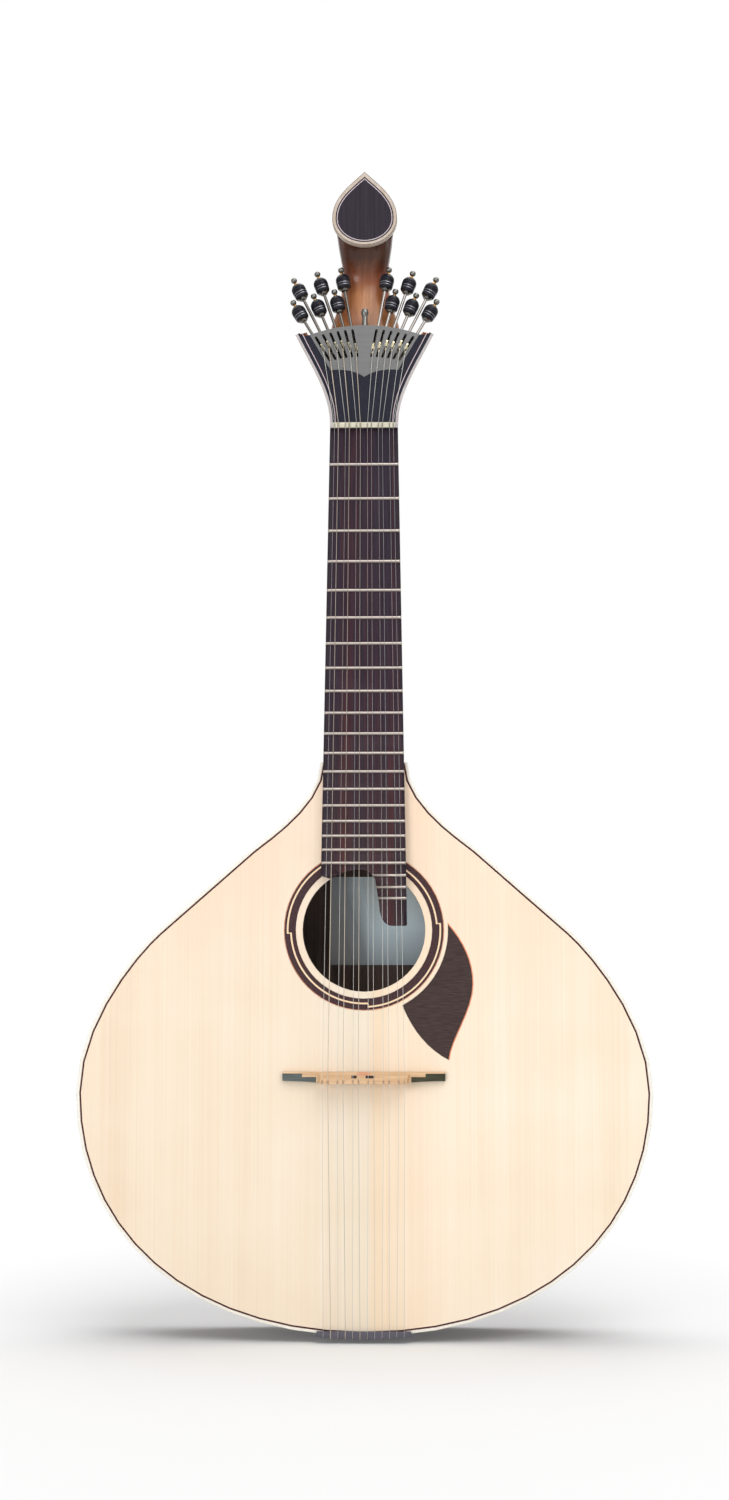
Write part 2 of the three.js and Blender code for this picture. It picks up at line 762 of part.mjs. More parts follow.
function makeNut() {
  const foot = neckFrontZ(nutTopY) + seatGap;
  const crest = boardTopZ(nutY) + nutRise;
  const blank = acrossX([
    [nutY + seatGap, foot],
    [nutTopY - seatGap, foot],
    [nutTopY - seatGap, crest - nutLength / 3],
    [nutTopY - nutLength / 3, crest],
    [nutY + seatGap, crest],
  ], nutHalfWidth);
  const grooves = Array.from({ length: stringCount }, (_, i) => {
    const half = stringRadius(i) + seatGap;
    const x = pairX(i, nutCourseStep, nutPairStep);
    const low = nutStringZ - seatGap;
    return alongY(new THREE.Shape([
      new THREE.Vector2(x - half, low),
      new THREE.Vector2(x + half, low),
      new THREE.Vector2(x + half, crest + overrun),
      new THREE.Vector2(x - half, crest + overrun),
    ]), nutY - overrun, nutTopY + overrun);
  });
  add(pieces, 'nut', 'bone', cut(blank, ...grooves));
}

// Points of the shaft's rounded section below its flat front
function shaftRing(y, halfWidth, depth) {
  const front = neckFrontZ(y);
  const arc = Array.from({ length: 11 }, (_, i) => {
    const angle = (Math.PI * i) / 10;
    const x = halfWidth * Math.sign(Math.cos(angle)) * Math.abs(Math.cos(angle)) ** 0.8;
    return new THREE.Vector3(x, y, front - 2 * seatGap - depth * Math.sin(angle) ** 0.85);
  });
  return [
    new THREE.Vector3(halfWidth, y, front),
    ...arc,
    new THREE.Vector3(-halfWidth, y, front),
  ];
}

const headMatrix = new THREE.Matrix4()
  .makeTranslation(0, nutTopY, headRise)
  .multiply(new THREE.Matrix4().makeRotationX(-headTilt));

// The head's outline in its own plane, drawn in from its long edges by an inset
function headShape(inset) {
  const foot = nutHalfWidth - inset;
  const wide = headHalfWidth - inset;
  const spread = wide - foot;
  const end = new THREE.Vector2(fanHalfWidth + seatGap, fanArcY(fanHalfWidth + seatGap));
  const shape = new THREE.Shape();
  shape.moveTo(foot, 0);
  shape.bezierCurveTo(
    foot + spread * headCurveShares.lowX, headHeight * headCurveShares.lowY,
    foot + spread * headCurveShares.highX, headHeight * headCurveShares.highY,
    wide, headHeight);
  shape.lineTo(earInnerX, earInnerY);
  shape.lineTo(end.x, end.y);
  shape.absarc(0, fanTop - fanRadius, fanRadius, Math.acos(end.x / fanRadius),
    Math.PI - Math.acos(end.x / fanRadius), false);
  shape.lineTo(-earInnerX, earInnerY);
  shape.lineTo(-wide, headHeight);
  shape.bezierCurveTo(
    -foot - spread * headCurveShares.highX, headHeight * headCurveShares.highY,
    -foot - spread * headCurveShares.lowX, headHeight * headCurveShares.lowY,
    -foot, 0);
  return shape;
}

function fanArcY(x) {
  return fanTop - fanRadius + Math.sqrt(fanRadius ** 2 - x ** 2);
}

// The fan plate's outline, grown by a margin
function fanShape(grow) {
  const radius = fanRadius + grow;
  const end = Math.acos((fanHalfWidth + grow) / radius);
  const corner = new THREE.Vector2(fanCornerX + grow, fanCornerY - grow);
  const shape = new THREE.Shape();
  shape.moveTo(corner.x, corner.y);
  shape.absarc(0, fanTop - fanRadius, radius, end, Math.PI - end, false);
  shape.lineTo(-corner.x, corner.y);
  shape.quadraticCurveTo(-fanScoopX, corner.y + fanScoopRise, 0, fanPointY - grow);
  shape.quadraticCurveTo(fanScoopX, corner.y + fanScoopRise, corner.x, corner.y);
  return shape;
}

// The deep part of the fan's bed, under the sliding hooks
function fanBedShape(grow) {
  const radius = fanRadius + grow;
  const lean = (fanHalfWidth - fanCornerX) / (fanArcY(fanHalfWidth) - fanCornerY);
  const side = fanSideRoom + grow;
  const foot = fanFloorY - grow;
  const footX = fanCornerX + (foot - fanCornerY) * lean + side;
  const end = Math.acos((fanHalfWidth + side) / radius);
  const shape = new THREE.Shape();
  shape.moveTo(footX, foot);
  shape.absarc(0, fanTop - fanRadius, radius, end, Math.PI - end, false);
  shape.lineTo(-footX, foot);
  shape.lineTo(footX, foot);
  return shape;
}

// The teardrop's outline about its own middle, scaled by a share
function tearRing(share, z, sag = 0) {
  const rise = tearTipY - tearWidestY;
  const fall = tearWidestY - tearBottomY;
  const shares = tearCurveShares;
  const upper = new THREE.CubicBezierCurve(
    new THREE.Vector2(tearHalfWidth, 0),
    new THREE.Vector2(tearHalfWidth, rise * shares.shoulderY),
    new THREE.Vector2(tearHalfWidth * shares.tipX, rise * shares.tipY),
    new THREE.Vector2(0, rise));
  const lower = new THREE.CubicBezierCurve(
    new THREE.Vector2(0, -fall),
    new THREE.Vector2(tearHalfWidth * shares.bottomX, -fall),
    new THREE.Vector2(tearHalfWidth, -fall * shares.bottomY),
    new THREE.Vector2(tearHalfWidth, 0));
  const right = [
    ...lower.getPoints(tearSteps).slice(0, -1),
    ...upper.getPoints(tearSteps),
  ];
  const left = right.slice(1, -1).reverse().map((p) => new THREE.Vector2(-p.x, p.y));
  return [...right, ...left].map((p) => new THREE.Vector3(
    p.x * share, tearWidestY + p.y * share - sag, z));
}

// A flat-oval section of the stalk, square to its line in the middle plane
function stalkRing(foot, { rise, set, width, depth, lean }) {
  const y = foot.y + stalkHeight * rise;
  const z = foot.z + stalkSetBack * set;
  const angle = stalkLean * lean;
  return Array.from({ length: stalkSides }, (_, i) => {
    const turn = (2 * Math.PI * i) / stalkSides;
    const round = (v) => Math.sign(v) * Math.abs(v) ** 0.8;
    const away = stalkHalfDepth * depth * round(Math.sin(turn));
    return new THREE.Vector3(
      headHalfWidth * width * round(Math.cos(turn)),
      y + away * Math.sin(angle),
      z + away * Math.cos(angle));
  });
}

function makeNeck() {
  const joint = bodyLength + seatGap;
  const heel = Array.from({ length: 7 }, (_, i) => {
    const rise = i / 6;
    const depth = shaftDepthAtHeel
      + (rimDepth(bodyLength) - 2 * seatGap - shaftDepthAtHeel) * (1 - rise) ** 2.6;
    const y = joint + heelLength * rise;
    return shaftRing(y, boardHalfWidth(y) - shaftHalfWidthMargin, depth);
  });
  const shaftSteps = 4;
  const shaft = Array.from({ length: shaftSteps }, (_, i) => {
    const rise = (i + 1) / shaftSteps;
    const y = joint + heelLength + (nutTopY - joint - heelLength) * rise;
    const depth = shaftDepthAtHeel + (shaftDepthAtNut - shaftDepthAtHeel) * rise;
    const halfWidth = boardHalfWidth(Math.min(y, nutY)) - shaftHalfWidthMargin;
    return shaftRing(y, halfWidth, depth);
  });
  const neckRod = loft([...heel, ...shaft]);

  const blockLoop = bodyLoop(ribThickness + seatGap, joint);
  const blockRegion = new THREE.Shape([
    new THREE.Vector2(-neckBlockHalfWidth, bodyLength - neckBlockLength),
    new THREE.Vector2(neckBlockHalfWidth, bodyLength - neckBlockLength),
    new THREE.Vector2(neckBlockHalfWidth, joint + seatGap),
    new THREE.Vector2(-neckBlockHalfWidth, joint + seatGap),
  ]);
  const block = cut(
    common(
      slab(new THREE.Shape(blockLoop), -crownDepth, underTop),
      slab(blockRegion, -crownDepth, underTop)),
    behindBack,
    acrossX([
      [bodyLength - seatGap, -crownDepth - overrun],
      [joint + overrun, -crownDepth - overrun],
      [joint + overrun, ribFoot(bodyLength)],
      [bodyLength - seatGap, ribFoot(bodyLength)],
    ], neckBlockHalfWidth + overrun));

  const headRing = (inset, z) => headShape(inset).getPoints(10).map(
    (p) => new THREE.Vector3(p.x, p.y, z));
  const headBlank = common(
    loft([headRing(headBackInset, -headDepthAtTop), headRing(0, 0)]),
    acrossX([
      [0, 0],
      [0, -headDepthAtNut],
      [headHeight / 2, -headDepthAtTop],
      [fanTop + overrun, -headDepthAtTop],
      [fanTop + overrun, 0],
    ], headHalfWidth + overrun));
  const veneerBed = cut(
    slab(headShape(headBinding - inlayGap), -veneerThickness - seatGap, overrun),
    slab(blockAbove(earInnerY), -fanDepth, 2 * overrun));
  const head = cut(
    headBlank,
    veneerBed,
    slab(fanShape(seatGap), -fanPlateThickness - seatGap, overrun),
    slab(fanBedShape(seatGap), -fanDepth - seatGap, overrun - fanPlateThickness));
  head.applyMatrix4(headMatrix);

  const foot = new THREE.Vector3(0, fanTop, -headDepthAtTop).applyMatrix4(headMatrix);
  const stalk = loft(stalkShares.map((row) => stalkRing(foot, row)));

  const faceBed = loft([
    tearRing(tearFaceShare + inlayGap / tearHalfWidth, tearFaceZ - tearFaceThickness - seatGap),
    tearRing(tearFaceShare + inlayGap / tearHalfWidth, tearFaceZ + overrun),
  ]);
  const finial = cut(loft([
    ...tearBackShares.map(({ size, depth, sag }) => tearRing(
      size, tearFaceZ - tearDepth * depth, tearSag * sag)),
    tearRing(1, tearFaceZ - tearRimDepth),
    tearRing(1, tearFaceZ),
  ]), faceBed);

  const nutRoom = acrossX([
    [nutY, neckFrontZ(nutY)],
    [nutTopY, neckFrontZ(nutTopY)],
    [nutTopY, bridgeHeight],
    [nutY, bridgeHeight],
  ], headHalfWidth);
  add(pieces, 'neck', 'cedar', cut(joined(neckRod, block, head, stalk, finial), nutRoom));
  add(pieces, 'finial_face', 'ebony', loft([
    tearRing(tearFaceShare, tearFaceZ - tearFaceThickness),
    tearRing(tearFaceShare, tearFaceZ),
  ]));
}

// Everything above a height in the head's plane
function blockAbove(y) {
  return new THREE.Shape([
    new THREE.Vector2(-headHalfWidth, y),
    new THREE.Vector2(headHalfWidth, y),
    new THREE.Vector2(headHalfWidth, y + headHeight),
    new THREE.Vector2(-headHalfWidth, y + headHeight),
  ]);
}

// Head, fan, screws and hooks, in the head's own plane

const screwSide = (i) => (i < courses ? -1 : 1);
const screwRank = (i) => (i < courses ? courses - 1 - i : i - courses);
const screwAngle = (i) => firstScrewAngle + screwRank(i) * screwAngleStep;

// Where a screw's axis crosses the fan's top edge
function screwTop(i) {
  const slotRadius = fanRadius - slotTopDrop;
  const x = firstSlotX + screwRank(i) * slotStep;
  const y = fanTop - fanRadius + Math.sqrt(slotRadius ** 2 - x ** 2);
  const along = new THREE.Vector2(Math.sin(screwAngle(i)), Math.cos(screwAngle(i)));
  const centre = fanTop - fanRadius;
  const b = x * along.x + (y - centre) * along.y;
  const c = x ** 2 + (y - centre) ** 2 - fanRadius ** 2;
  const reach = -b + Math.sqrt(b ** 2 - c);
  return new THREE.Vector2(screwSide(i) * (x + along.x * reach), y + along.y * reach);
}

function screwMatrix(i) {
  const top = screwTop(i);
  return new THREE.Matrix4()
    .makeTranslation(top.x, top.y, -screwDepth)
    .multiply(new THREE.Matrix4().makeRotationZ(-screwSide(i) * screwAngle(i)));
}

const slotTopY = -slotTopDrop;
const hookRestY = (i) => slotTopY - slotLength * hookRestShares[screwRank(i)];

function slotTool(i) {
  const half = slotWidth / 2;
  const low = slotTopY - slotLength + half;
  const high = slotTopY - half;
  const shape = new THREE.Shape();
  shape.moveTo(half, low);
  shape.absarc(0, high, half, 0, Math.PI, false);
  shape.absarc(0, low, half, Math.PI, 2 * Math.PI, false);
  return slab(shape, 0, screwDepth + overrun, 4).applyMatrix4(screwMatrix(i));
}

function holeTool(i) {
  const radius = holeFor(screwRadius, screwSides);
  const tool = new THREE.CylinderGeometry(radius, radius, 2 * (fanRail + overrun), screwSides);
  return tool.applyMatrix4(screwMatrix(i));
}

function screwGeometry(i) {
  const reach = screwRank(i) % 2 === 0 ? upperKnobReach : lowerKnobReach;
  const half = knobLength / 2;
  const outerCollar = 2 * turningGap;
  const innerCollar = -fanRail - 2 * turningGap - sagittaRoom;
  const profile = [
    [0, -screwTail],
    [screwRadius, -screwTail],
    [screwRadius, innerCollar - collarThickness],
    [collarRadius, innerCollar - collarThickness],
    [collarRadius, innerCollar],
    [screwRadius, innerCollar],
    [screwRadius, outerCollar + sagittaRoom],
    [collarRadius, outerCollar + sagittaRoom],
    [collarRadius, outerCollar + sagittaRoom + collarThickness],
    [screwRadius, outerCollar + sagittaRoom + collarThickness],
    [screwRadius, reach - half * bareShankShare],
    ...knobShares.map(([wide, along]) => [knobRadius * wide, reach + half * along]),
    [2 * ballNeckRadius, reach + half],
    [ballNeckRadius, reach + ballReach - ballRadius],
    [ballRadius * 0.8, reach + ballReach - ballRadius * 0.6],
    [ballRadius, reach + ballReach],
    [ballRadius * 0.8, reach + ballReach + ballRadius * 0.6],
    [0, reach + ballReach + ballRadius],
  ].map(([r, y]) => new THREE.Vector2(r, y));
  return new THREE.LatheGeometry(profile, screwSides);
}

function hookGeometry() {
  const bore = new THREE.CylinderGeometry(
    holeFor(screwRadius, screwSides), holeFor(screwRadius, screwSides),
    hookBlockLength + overrun, screwSides);
  const block = new THREE.BoxGeometry(hookBlockWidth, hookBlockLength, hookBlockDepth);
  const foot = hookBlockDepth / 2;
  const face = screwDepth;
  const prong = acrossX([
    [-hookStem / 2, foot - seatGap],
    [hookStem / 2, foot - seatGap],
    [hookStem / 2, face + hookElbow],
    [hookStem / 2 + hookLean, face + hookRise - hookElbow],
    [hookStem / 2 + hookLean - hookWidth, face + hookRise],
    [-hookStem / 2, face + 2 * hookElbow],
  ], hookWidth / 2);
  return joined(cut(block, bore), prong);
}

function makeHead() {
  const head = new THREE.Group();
  head.applyMatrix4(headMatrix);
  pieces.add(head);

  const veneerFoot = new THREE.Shape([
    new THREE.Vector2(-headHalfWidth, nutFace),
    new THREE.Vector2(headHalfWidth, nutFace),
    new THREE.Vector2(headHalfWidth, earInnerY),
    new THREE.Vector2(-headHalfWidth, earInnerY),
  ]);
  add(head, 'head_veneer', 'ebony', cut(
    common(slab(headShape(headBinding), -veneerThickness, 0), slab(veneerFoot, -overrun, overrun)),
    slab(fanShape(seatGap), -overrun, overrun),
    slab(blockAbove(fanArcY(fanHalfWidth) - seatGap), -overrun, overrun)));

  const order = Array.from({ length: stringCount }, (_, i) => i);
  add(head, 'fan_plate', 'nickel', cut(
    slab(fanShape(0), -fanPlateThickness, 0), ...order.map(slotTool)));

  const rail = cut(
    slab(fanBedShape(0), -fanDepth, -fanPlateThickness - seatGap),
    slab(railInnerShape(), fanFloor - fanDepth, overrun));
  const postFoot = fanTop - fanRail;
  const post = new THREE.LatheGeometry([
    [0, postFoot], [postRadius, postFoot], [postRadius, fanTop + postHeight * 0.12],
    [postRadius * 0.7, fanTop + postHeight * 0.2], [postRadius * 0.7, fanTop + postHeight * 0.62],
    [postFlare, fanTop + postHeight * 0.8], [postFlare * 0.8, fanTop + postHeight],
    [0, fanTop + postHeight],
  ].map(([r, y]) => new THREE.Vector2(r, y)), screwSides).translate(0, 0, -screwDepth);
  add(head, 'fan_frame', 'nickel', cut(joined(rail, post), ...order.map(holeTool)));

  for (const i of order) {
    const number = String(i + 1).padStart(2, '0');
    const place = new THREE.Group();
    place.applyMatrix4(screwMatrix(i));
    head.add(place);
    add(place, `tuning_screw_${number}`, 'nickel', screwGeometry(i));
    add(place, `hook_${number}`, 'brass', hookGeometry()).position.y = hookRestY(i);
  }
}

// What is open inside the fan's frame, below its arched rail
function railInnerShape() {
  const radius = fanRadius - fanRail;
  const wide = headHalfWidth;
  const end = Math.acos(wide / radius);
  const shape = new THREE.Shape();
  shape.moveTo(wide, 0);
  shape.absarc(0, fanTop - fanRadius, radius, end, Math.PI - end, false);
  shape.lineTo(-wide, 0);
  shape.lineTo(wide, 0);
  return shape;
}

// Bridge, tailpiece and strings

function makeBridge() {
  const crest = bridgeHeight + notchDepth;
  const wing = bridgeHalfLength - bridgeCapLength;
  const shape = new THREE.Shape();
  shape.moveTo(-bridgeHalfLength, seatGap);
  shape.lineTo(-bridgeArchHalfLength, seatGap);
  shape.quadraticCurveTo(0, seatGap + 2 * bridgeArchHeight, bridgeArchHalfLength, seatGap);
  shape.lineTo(bridgeHalfLength, seatGap);
  shape.lineTo(bridgeHalfLength, bridgeTipHeight);
  shape.quadraticCurveTo(wing + bridgeCapLength / 2, bridgeWingHeight, wing, bridgeWingHeight);
  shape.quadraticCurveTo(bridgeCrestHalfLength, bridgeWingHeight, bridgeCrestHalfLength, crest);
  shape.lineTo(-bridgeCrestHalfLength, crest);
  shape.quadraticCurveTo(-bridgeCrestHalfLength, bridgeWingHeight, -wing, bridgeWingHeight);
  shape.quadraticCurveTo(-wing - bridgeCapLength / 2, bridgeWingHeight,
    -bridgeHalfLength, bridgeTipHeight);
  const back = bridgeY - bridgeCrest / 2;
  const side = acrossX([
    [back, 0],
    [back + bridgeFoot, 0],
    [back + bridgeFoot, bridgeTipHeight],
    [back + bridgeCrest, crest],
    [back, crest],
  ], bridgeHalfLength + overrun);
  const notches = Array.from({ length: stringCount }, (_, i) => {
    const x = pairX(i, bridgeCourseStep, bridgePairStep);
    const half = stringRadius(i) + seatGap;
    return alongY(new THREE.Shape([
      new THREE.Vector2(x - half, bridgeHeight - seatGap),
      new THREE.Vector2(x + half, bridgeHeight - seatGap),
      new THREE.Vector2(x + half, crest + overrun),
      new THREE.Vector2(x - half, crest + overrun),
    ]), back - overrun, back + bridgeFoot + overrun);
  });
  const plan = new THREE.Shape();
  plan.moveTo(-bridgeHalfLength, back + bridgeEndInset);
  plan.quadraticCurveTo(-wing, back + bridgeWingInset, -bridgeCrestHalfLength, back);
  plan.lineTo(bridgeCrestHalfLength, back);
  plan.quadraticCurveTo(wing, back + bridgeWingInset, bridgeHalfLength, back + bridgeEndInset);
  plan.lineTo(bridgeHalfLength, back + bridgeFoot);
  plan.lineTo(-bridgeHalfLength, back + bridgeFoot);
  plan.lineTo(-bridgeHalfLength, back + bridgeEndInset);
  const blank = common(
    alongY(shape, back, back + bridgeFoot), side, slab(plan, -overrun, bridgeHeight + overrun));
  add(pieces, 'bridge', 'boxwood', cut(blank, ...notches));
}

const tailStringX = (i) => (i - (stringCount - 1) / 2) * tailStringStep;
const tailPinZ = (i) => -tailPinDrop - (i % 2) * tailPinStagger;

// The tail's outline at an x, seen as a curve near the centre line
function tailOutlineY(x) {
  const half = halfLoop(0);
  const above = half.findIndex((p, i) => i > 0 && p.x >= Math.abs(x));
  const [a, b] = [half[above - 1], half[above]];
  return a.y + ((b.y - a.y) * (Math.abs(x) - a.x)) / (b.x - a.x);
}

function makeTailpiece() {
  const steps = 8;
  const xs = Array.from({ length: steps + 1 }, (_, i) => tailpieceHalfWidth * ((2 * i) / steps - 1));
  const near = xs.map((x) => new THREE.Vector2(x, tailOutlineY(x) - seatGap));
  const far = xs.map((x) => new THREE.Vector2(x, tailOutlineY(x) - seatGap - tailpieceThickness));
  const plate = slab(new THREE.Shape([...far, ...near.reverse()]), -tailpieceDrop, seatGap + turningGap);
  const bar = slab(new THREE.Shape([
    ...far,
    new THREE.Vector2(tailpieceHalfWidth, tailpieceBarY),
    new THREE.Vector2(-tailpieceHalfWidth, tailpieceBarY),
  ]), seatGap, tailpieceBarTop);
  const pins = Array.from({ length: stringCount }, (_, i) => {
    const x = tailStringX(i);
    const foot = tailOutlineY(x) - seatGap - tailpieceThickness;
    const pin = new THREE.CylinderGeometry(
      tailPinRadius, tailPinRadius, tailPinLength + tailpieceThickness / 2, pinSides);
    return pin.translate(x, foot + tailpieceThickness / 4 - tailPinLength / 2, tailPinZ(i));
  });
  add(pieces, 'tailpiece', 'darkMetal', joined(plate, bar, ...pins));
}

// One string from its tail pin, over the tailpiece, bridge and nut, to its hook
function stringPoints(i) {
  const radius = stringRadius(i);
  const clear = seatGap + radius;
  const tailX = tailStringX(i);
  const outside = tailOutlineY(tailX) - seatGap - tailpieceThickness - clear;
  const bridgeX = pairX(i, bridgeCourseStep, bridgePairStep);
  const nutX = pairX(i, nutCourseStep, nutPairStep);
  const hook = new THREE.Vector3(0, hookRestY(i) - hookStem / 2 - clear, screwDepth + clear + hookElbow)
    .applyMatrix4(screwMatrix(i))
    .applyMatrix4(headMatrix);
  return [
    new THREE.Vector3(tailX, outside, tailPinZ(i) + tailPinRadius + seatGap),
    new THREE.Vector3(tailX, outside, tailpieceBarTop + clear * 0.4),
    new THREE.Vector3(tailX, outside + clear * 0.6, tailpieceBarTop + clear),
    new THREE.Vector3(tailX, tailpieceBarY, tailpieceBarTop + clear),
    new THREE.Vector3(bridgeX, bridgeY, bridgeHeight + radius),
    new THREE.Vector3(nutX, nutY, nutStringZ + radius),
    new THREE.Vector3(nutX, nutTopY - nutLength / 3, nutStringZ + radius),
    hook,
  ];
}

function makeStrings() {
  for (let i = 0; i < stringCount; i += 1) {
    const name = `string_${String(i + 1).padStart(2, '0')}`;
    add(pieces, name, 'steel', rod(stringPoints(i), stringRadius(i), stringSides));
  }
}

makeBody();
makeBars();
makeFingerboard();
makeNut();
makeNeck();
makeHead();
makeBridge();
makeTailpiece();
makeStrings();

const guitar = new THREE.Group();
pieces.rotation.x = Math.PI / 2;
guitar.add(pieces);

export default guitar;
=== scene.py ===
"""Looks of the Portuguese guitar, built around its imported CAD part."""

import json
import math

import bmesh
import bpy
import numpy as np
from mathutils import Matrix, Vector
from mathutils.bvhtree import BVHTree


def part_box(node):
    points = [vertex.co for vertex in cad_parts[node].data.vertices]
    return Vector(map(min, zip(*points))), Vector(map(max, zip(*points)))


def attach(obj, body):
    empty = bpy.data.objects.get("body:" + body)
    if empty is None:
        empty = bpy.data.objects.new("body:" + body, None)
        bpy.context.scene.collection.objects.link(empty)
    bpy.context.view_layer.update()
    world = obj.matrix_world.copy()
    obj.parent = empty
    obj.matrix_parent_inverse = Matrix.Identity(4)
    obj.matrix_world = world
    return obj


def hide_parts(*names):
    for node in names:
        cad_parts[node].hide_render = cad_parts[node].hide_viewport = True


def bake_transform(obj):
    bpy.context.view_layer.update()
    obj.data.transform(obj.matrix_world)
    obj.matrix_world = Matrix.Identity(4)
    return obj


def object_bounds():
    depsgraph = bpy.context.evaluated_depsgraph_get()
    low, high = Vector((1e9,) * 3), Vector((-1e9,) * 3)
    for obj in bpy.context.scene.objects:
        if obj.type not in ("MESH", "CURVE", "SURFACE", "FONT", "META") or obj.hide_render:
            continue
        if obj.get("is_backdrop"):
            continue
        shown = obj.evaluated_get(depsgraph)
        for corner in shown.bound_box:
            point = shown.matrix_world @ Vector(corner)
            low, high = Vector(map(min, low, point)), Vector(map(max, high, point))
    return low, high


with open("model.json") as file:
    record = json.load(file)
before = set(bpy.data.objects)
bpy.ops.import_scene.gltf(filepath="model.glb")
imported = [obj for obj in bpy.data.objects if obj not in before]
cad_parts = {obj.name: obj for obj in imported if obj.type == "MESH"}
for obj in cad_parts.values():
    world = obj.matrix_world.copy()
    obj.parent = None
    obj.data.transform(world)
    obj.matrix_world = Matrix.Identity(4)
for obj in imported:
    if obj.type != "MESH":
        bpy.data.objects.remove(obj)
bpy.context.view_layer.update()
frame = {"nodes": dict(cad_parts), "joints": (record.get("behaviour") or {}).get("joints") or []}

MM = 0.001
INSTRUMENT = "instrument"
STRINGS = 12
COURSES = 6
FRONT = Vector((0, -1, 0))
SIDEWAYS = Vector((1, 0, 0))
UP = Vector((0, 0, 1))


def local(x, y, z=0.0):
    """The world point of a place in mm: x across, y up the neck and z to the front."""
    return Vector((x, -z, y)) * MM


# Sizes in mm, the same as in the CAD source

BODY_LENGTH, NECK_LENGTH = 403.3, 240.8
SCALE_LENGTH, BRIDGE_FORWARD = 470.0, 2.9
NUT_Y = BODY_LENGTH + NECK_LENGTH
BRIDGE_Y = NUT_Y - SCALE_LENGTH + BRIDGE_FORWARD
NUT_LENGTH = 4.8
NECK_TILT = math.radians(0.77)
BOARD_THICKNESS = 6.0
GAP = 0.3
STRING_LIFT = 1.2
HOLE_Y = 283.6
NUT_STEP, NUT_PAIR = 7.9, 2.8
BRIDGE_STEP, BRIDGE_PAIR = 10.75, 3.9
BRIDGE_HEIGHT = 15.0
TAIL_STEP = 5.15
TAIL_BAR_TOP, TAIL_BAR_Y = 3.4, 3.6
TAIL_PIN_DROP, TAIL_PIN_STAGGER = 16.0, 7.0
SCREW_RADIUS, SCREW_TAIL = 1.1, 26.4
COLLAR_RADIUS = 1.75
LOWER_KNOB, UPPER_KNOB = 21.4, 37.9
THREAD_PITCH = 0.7
SCREW_DEPTH = 6.0
POST_HEIGHT = 15.0
BASS_RADIUS, TREBLE_RADIUS = 0.42, 0.18
HEAD_BINDING = 3.0
HEAD_BACK_INSET, HEAD_DEPTH = 5.5, 22.0
TEAR_TIP_Y, TEAR_WIDEST_Y, TEAR_BOTTOM_Y = 838.0, 803.3, 783.6
TEAR_HALF_WIDTH, TEAR_FACE_Z, TEAR_RIM_DEPTH = 23.6, -12.0, 7.5
TEAR_FACE_SHARE = 0.9


def neck_front_z(y):
    return -(y - BODY_LENGTH) * math.tan(NECK_TILT)


def board_top_z(y):
    return neck_front_z(y) + GAP + BOARD_THICKNESS


# Material helpers

WHITE, BLACK = (255, 255, 255), (0, 0, 0)
# Indices of the object coordinates
ACROSS, HEIGHT = 0, 2
# In metres
GRAIN_DEPTH = 0.0001
# Specular level of dark surfaces, low enough for them to stay dark in the light
DARK_GLOSS = 0.1


def linear(r, g, b):
    """An sRGB colour of 0 to 255 as the linear one that a shader takes."""
    def channel(v):
        v /= 255.0
        return v / 12.92 if v <= 0.04045 else ((v + 0.055) / 1.055) ** 2.4

    return (channel(r), channel(g), channel(b), 1.0)


def plain(name, rgb, roughness=0.5, metallic=0.0, coat=0.0, coat_roughness=0.1, specular=0.5):
    """A material of one colour."""
    made = bpy.data.materials.new(name)
    made.use_nodes = True
    shader = made.node_tree.nodes["Principled BSDF"]
    shader.inputs["Base Color"].default_value = linear(*rgb)
    shader.inputs["Roughness"].default_value = roughness
    shader.inputs["Metallic"].default_value = metallic
    shader.inputs["Coat Weight"].default_value = coat
    shader.inputs["Coat Roughness"].default_value = coat_roughness
    shader.inputs["Specular IOR Level"].default_value = specular
    return made


def add_bump(tree, height, strength, distance=GRAIN_DEPTH):
    bump = tree.nodes.new("ShaderNodeBump")
    bump.inputs["Strength"].default_value = strength
    bump.inputs["Distance"].default_value = distance
    tree.links.new(height, bump.inputs["Height"])
    tree.links.new(bump.outputs["Normal"], tree.nodes["Principled BSDF"].inputs["Normal"])


def axis_value(tree, index):
    """One object coordinate, in metres."""
    split = tree.nodes.new("ShaderNodeSeparateXYZ")
    tree.links.new(tree.nodes.new("ShaderNodeTexCoord").outputs["Object"], split.inputs[0])
    return split.outputs[index]


def maths(tree, operation, a, b=0.0):
    node = tree.nodes.new("ShaderNodeMath")
    node.operation = operation
    for socket, value in zip(node.inputs, (a, b)):
        if isinstance(value, float):
            socket.default_value = value
        else:
            tree.links.new(value, socket)
    return node.outputs[0]


def ranged(tree, value, low, high, to_low=0.0, to_high=1.0):
    node = tree.nodes.new("ShaderNodeMapRange")
    words = ("From Min", "From Max", "To Min", "To Max")
    for word, number in zip(words, (low, high, to_low, to_high)):
        node.inputs[word].default_value = number
    tree.links.new(value, node.inputs["Value"])
    return node.outputs["Result"]


def stretched(tree, scale, mirrored=False):
    """Object coordinates scaled unevenly, folded at the centre line for book-matched wood."""
    coords = tree.nodes.new("ShaderNodeTexCoord").outputs["Object"]
    if mirrored:
        split = tree.nodes.new("ShaderNodeSeparateXYZ")
        tree.links.new(coords, split.inputs[0])
        both = tree.nodes.new("ShaderNodeCombineXYZ")
        tree.links.new(maths(tree, "ABSOLUTE", split.outputs[0]), both.inputs[0])
        tree.links.new(split.outputs[1], both.inputs[1])
        tree.links.new(split.outputs[2], both.inputs[2])
        coords = both.outputs[0]
    mapping = tree.nodes.new("ShaderNodeMapping")
    mapping.inputs["Scale"].default_value = scale
    tree.links.new(coords, mapping.inputs["Vector"])
    return mapping.outputs["Vector"]


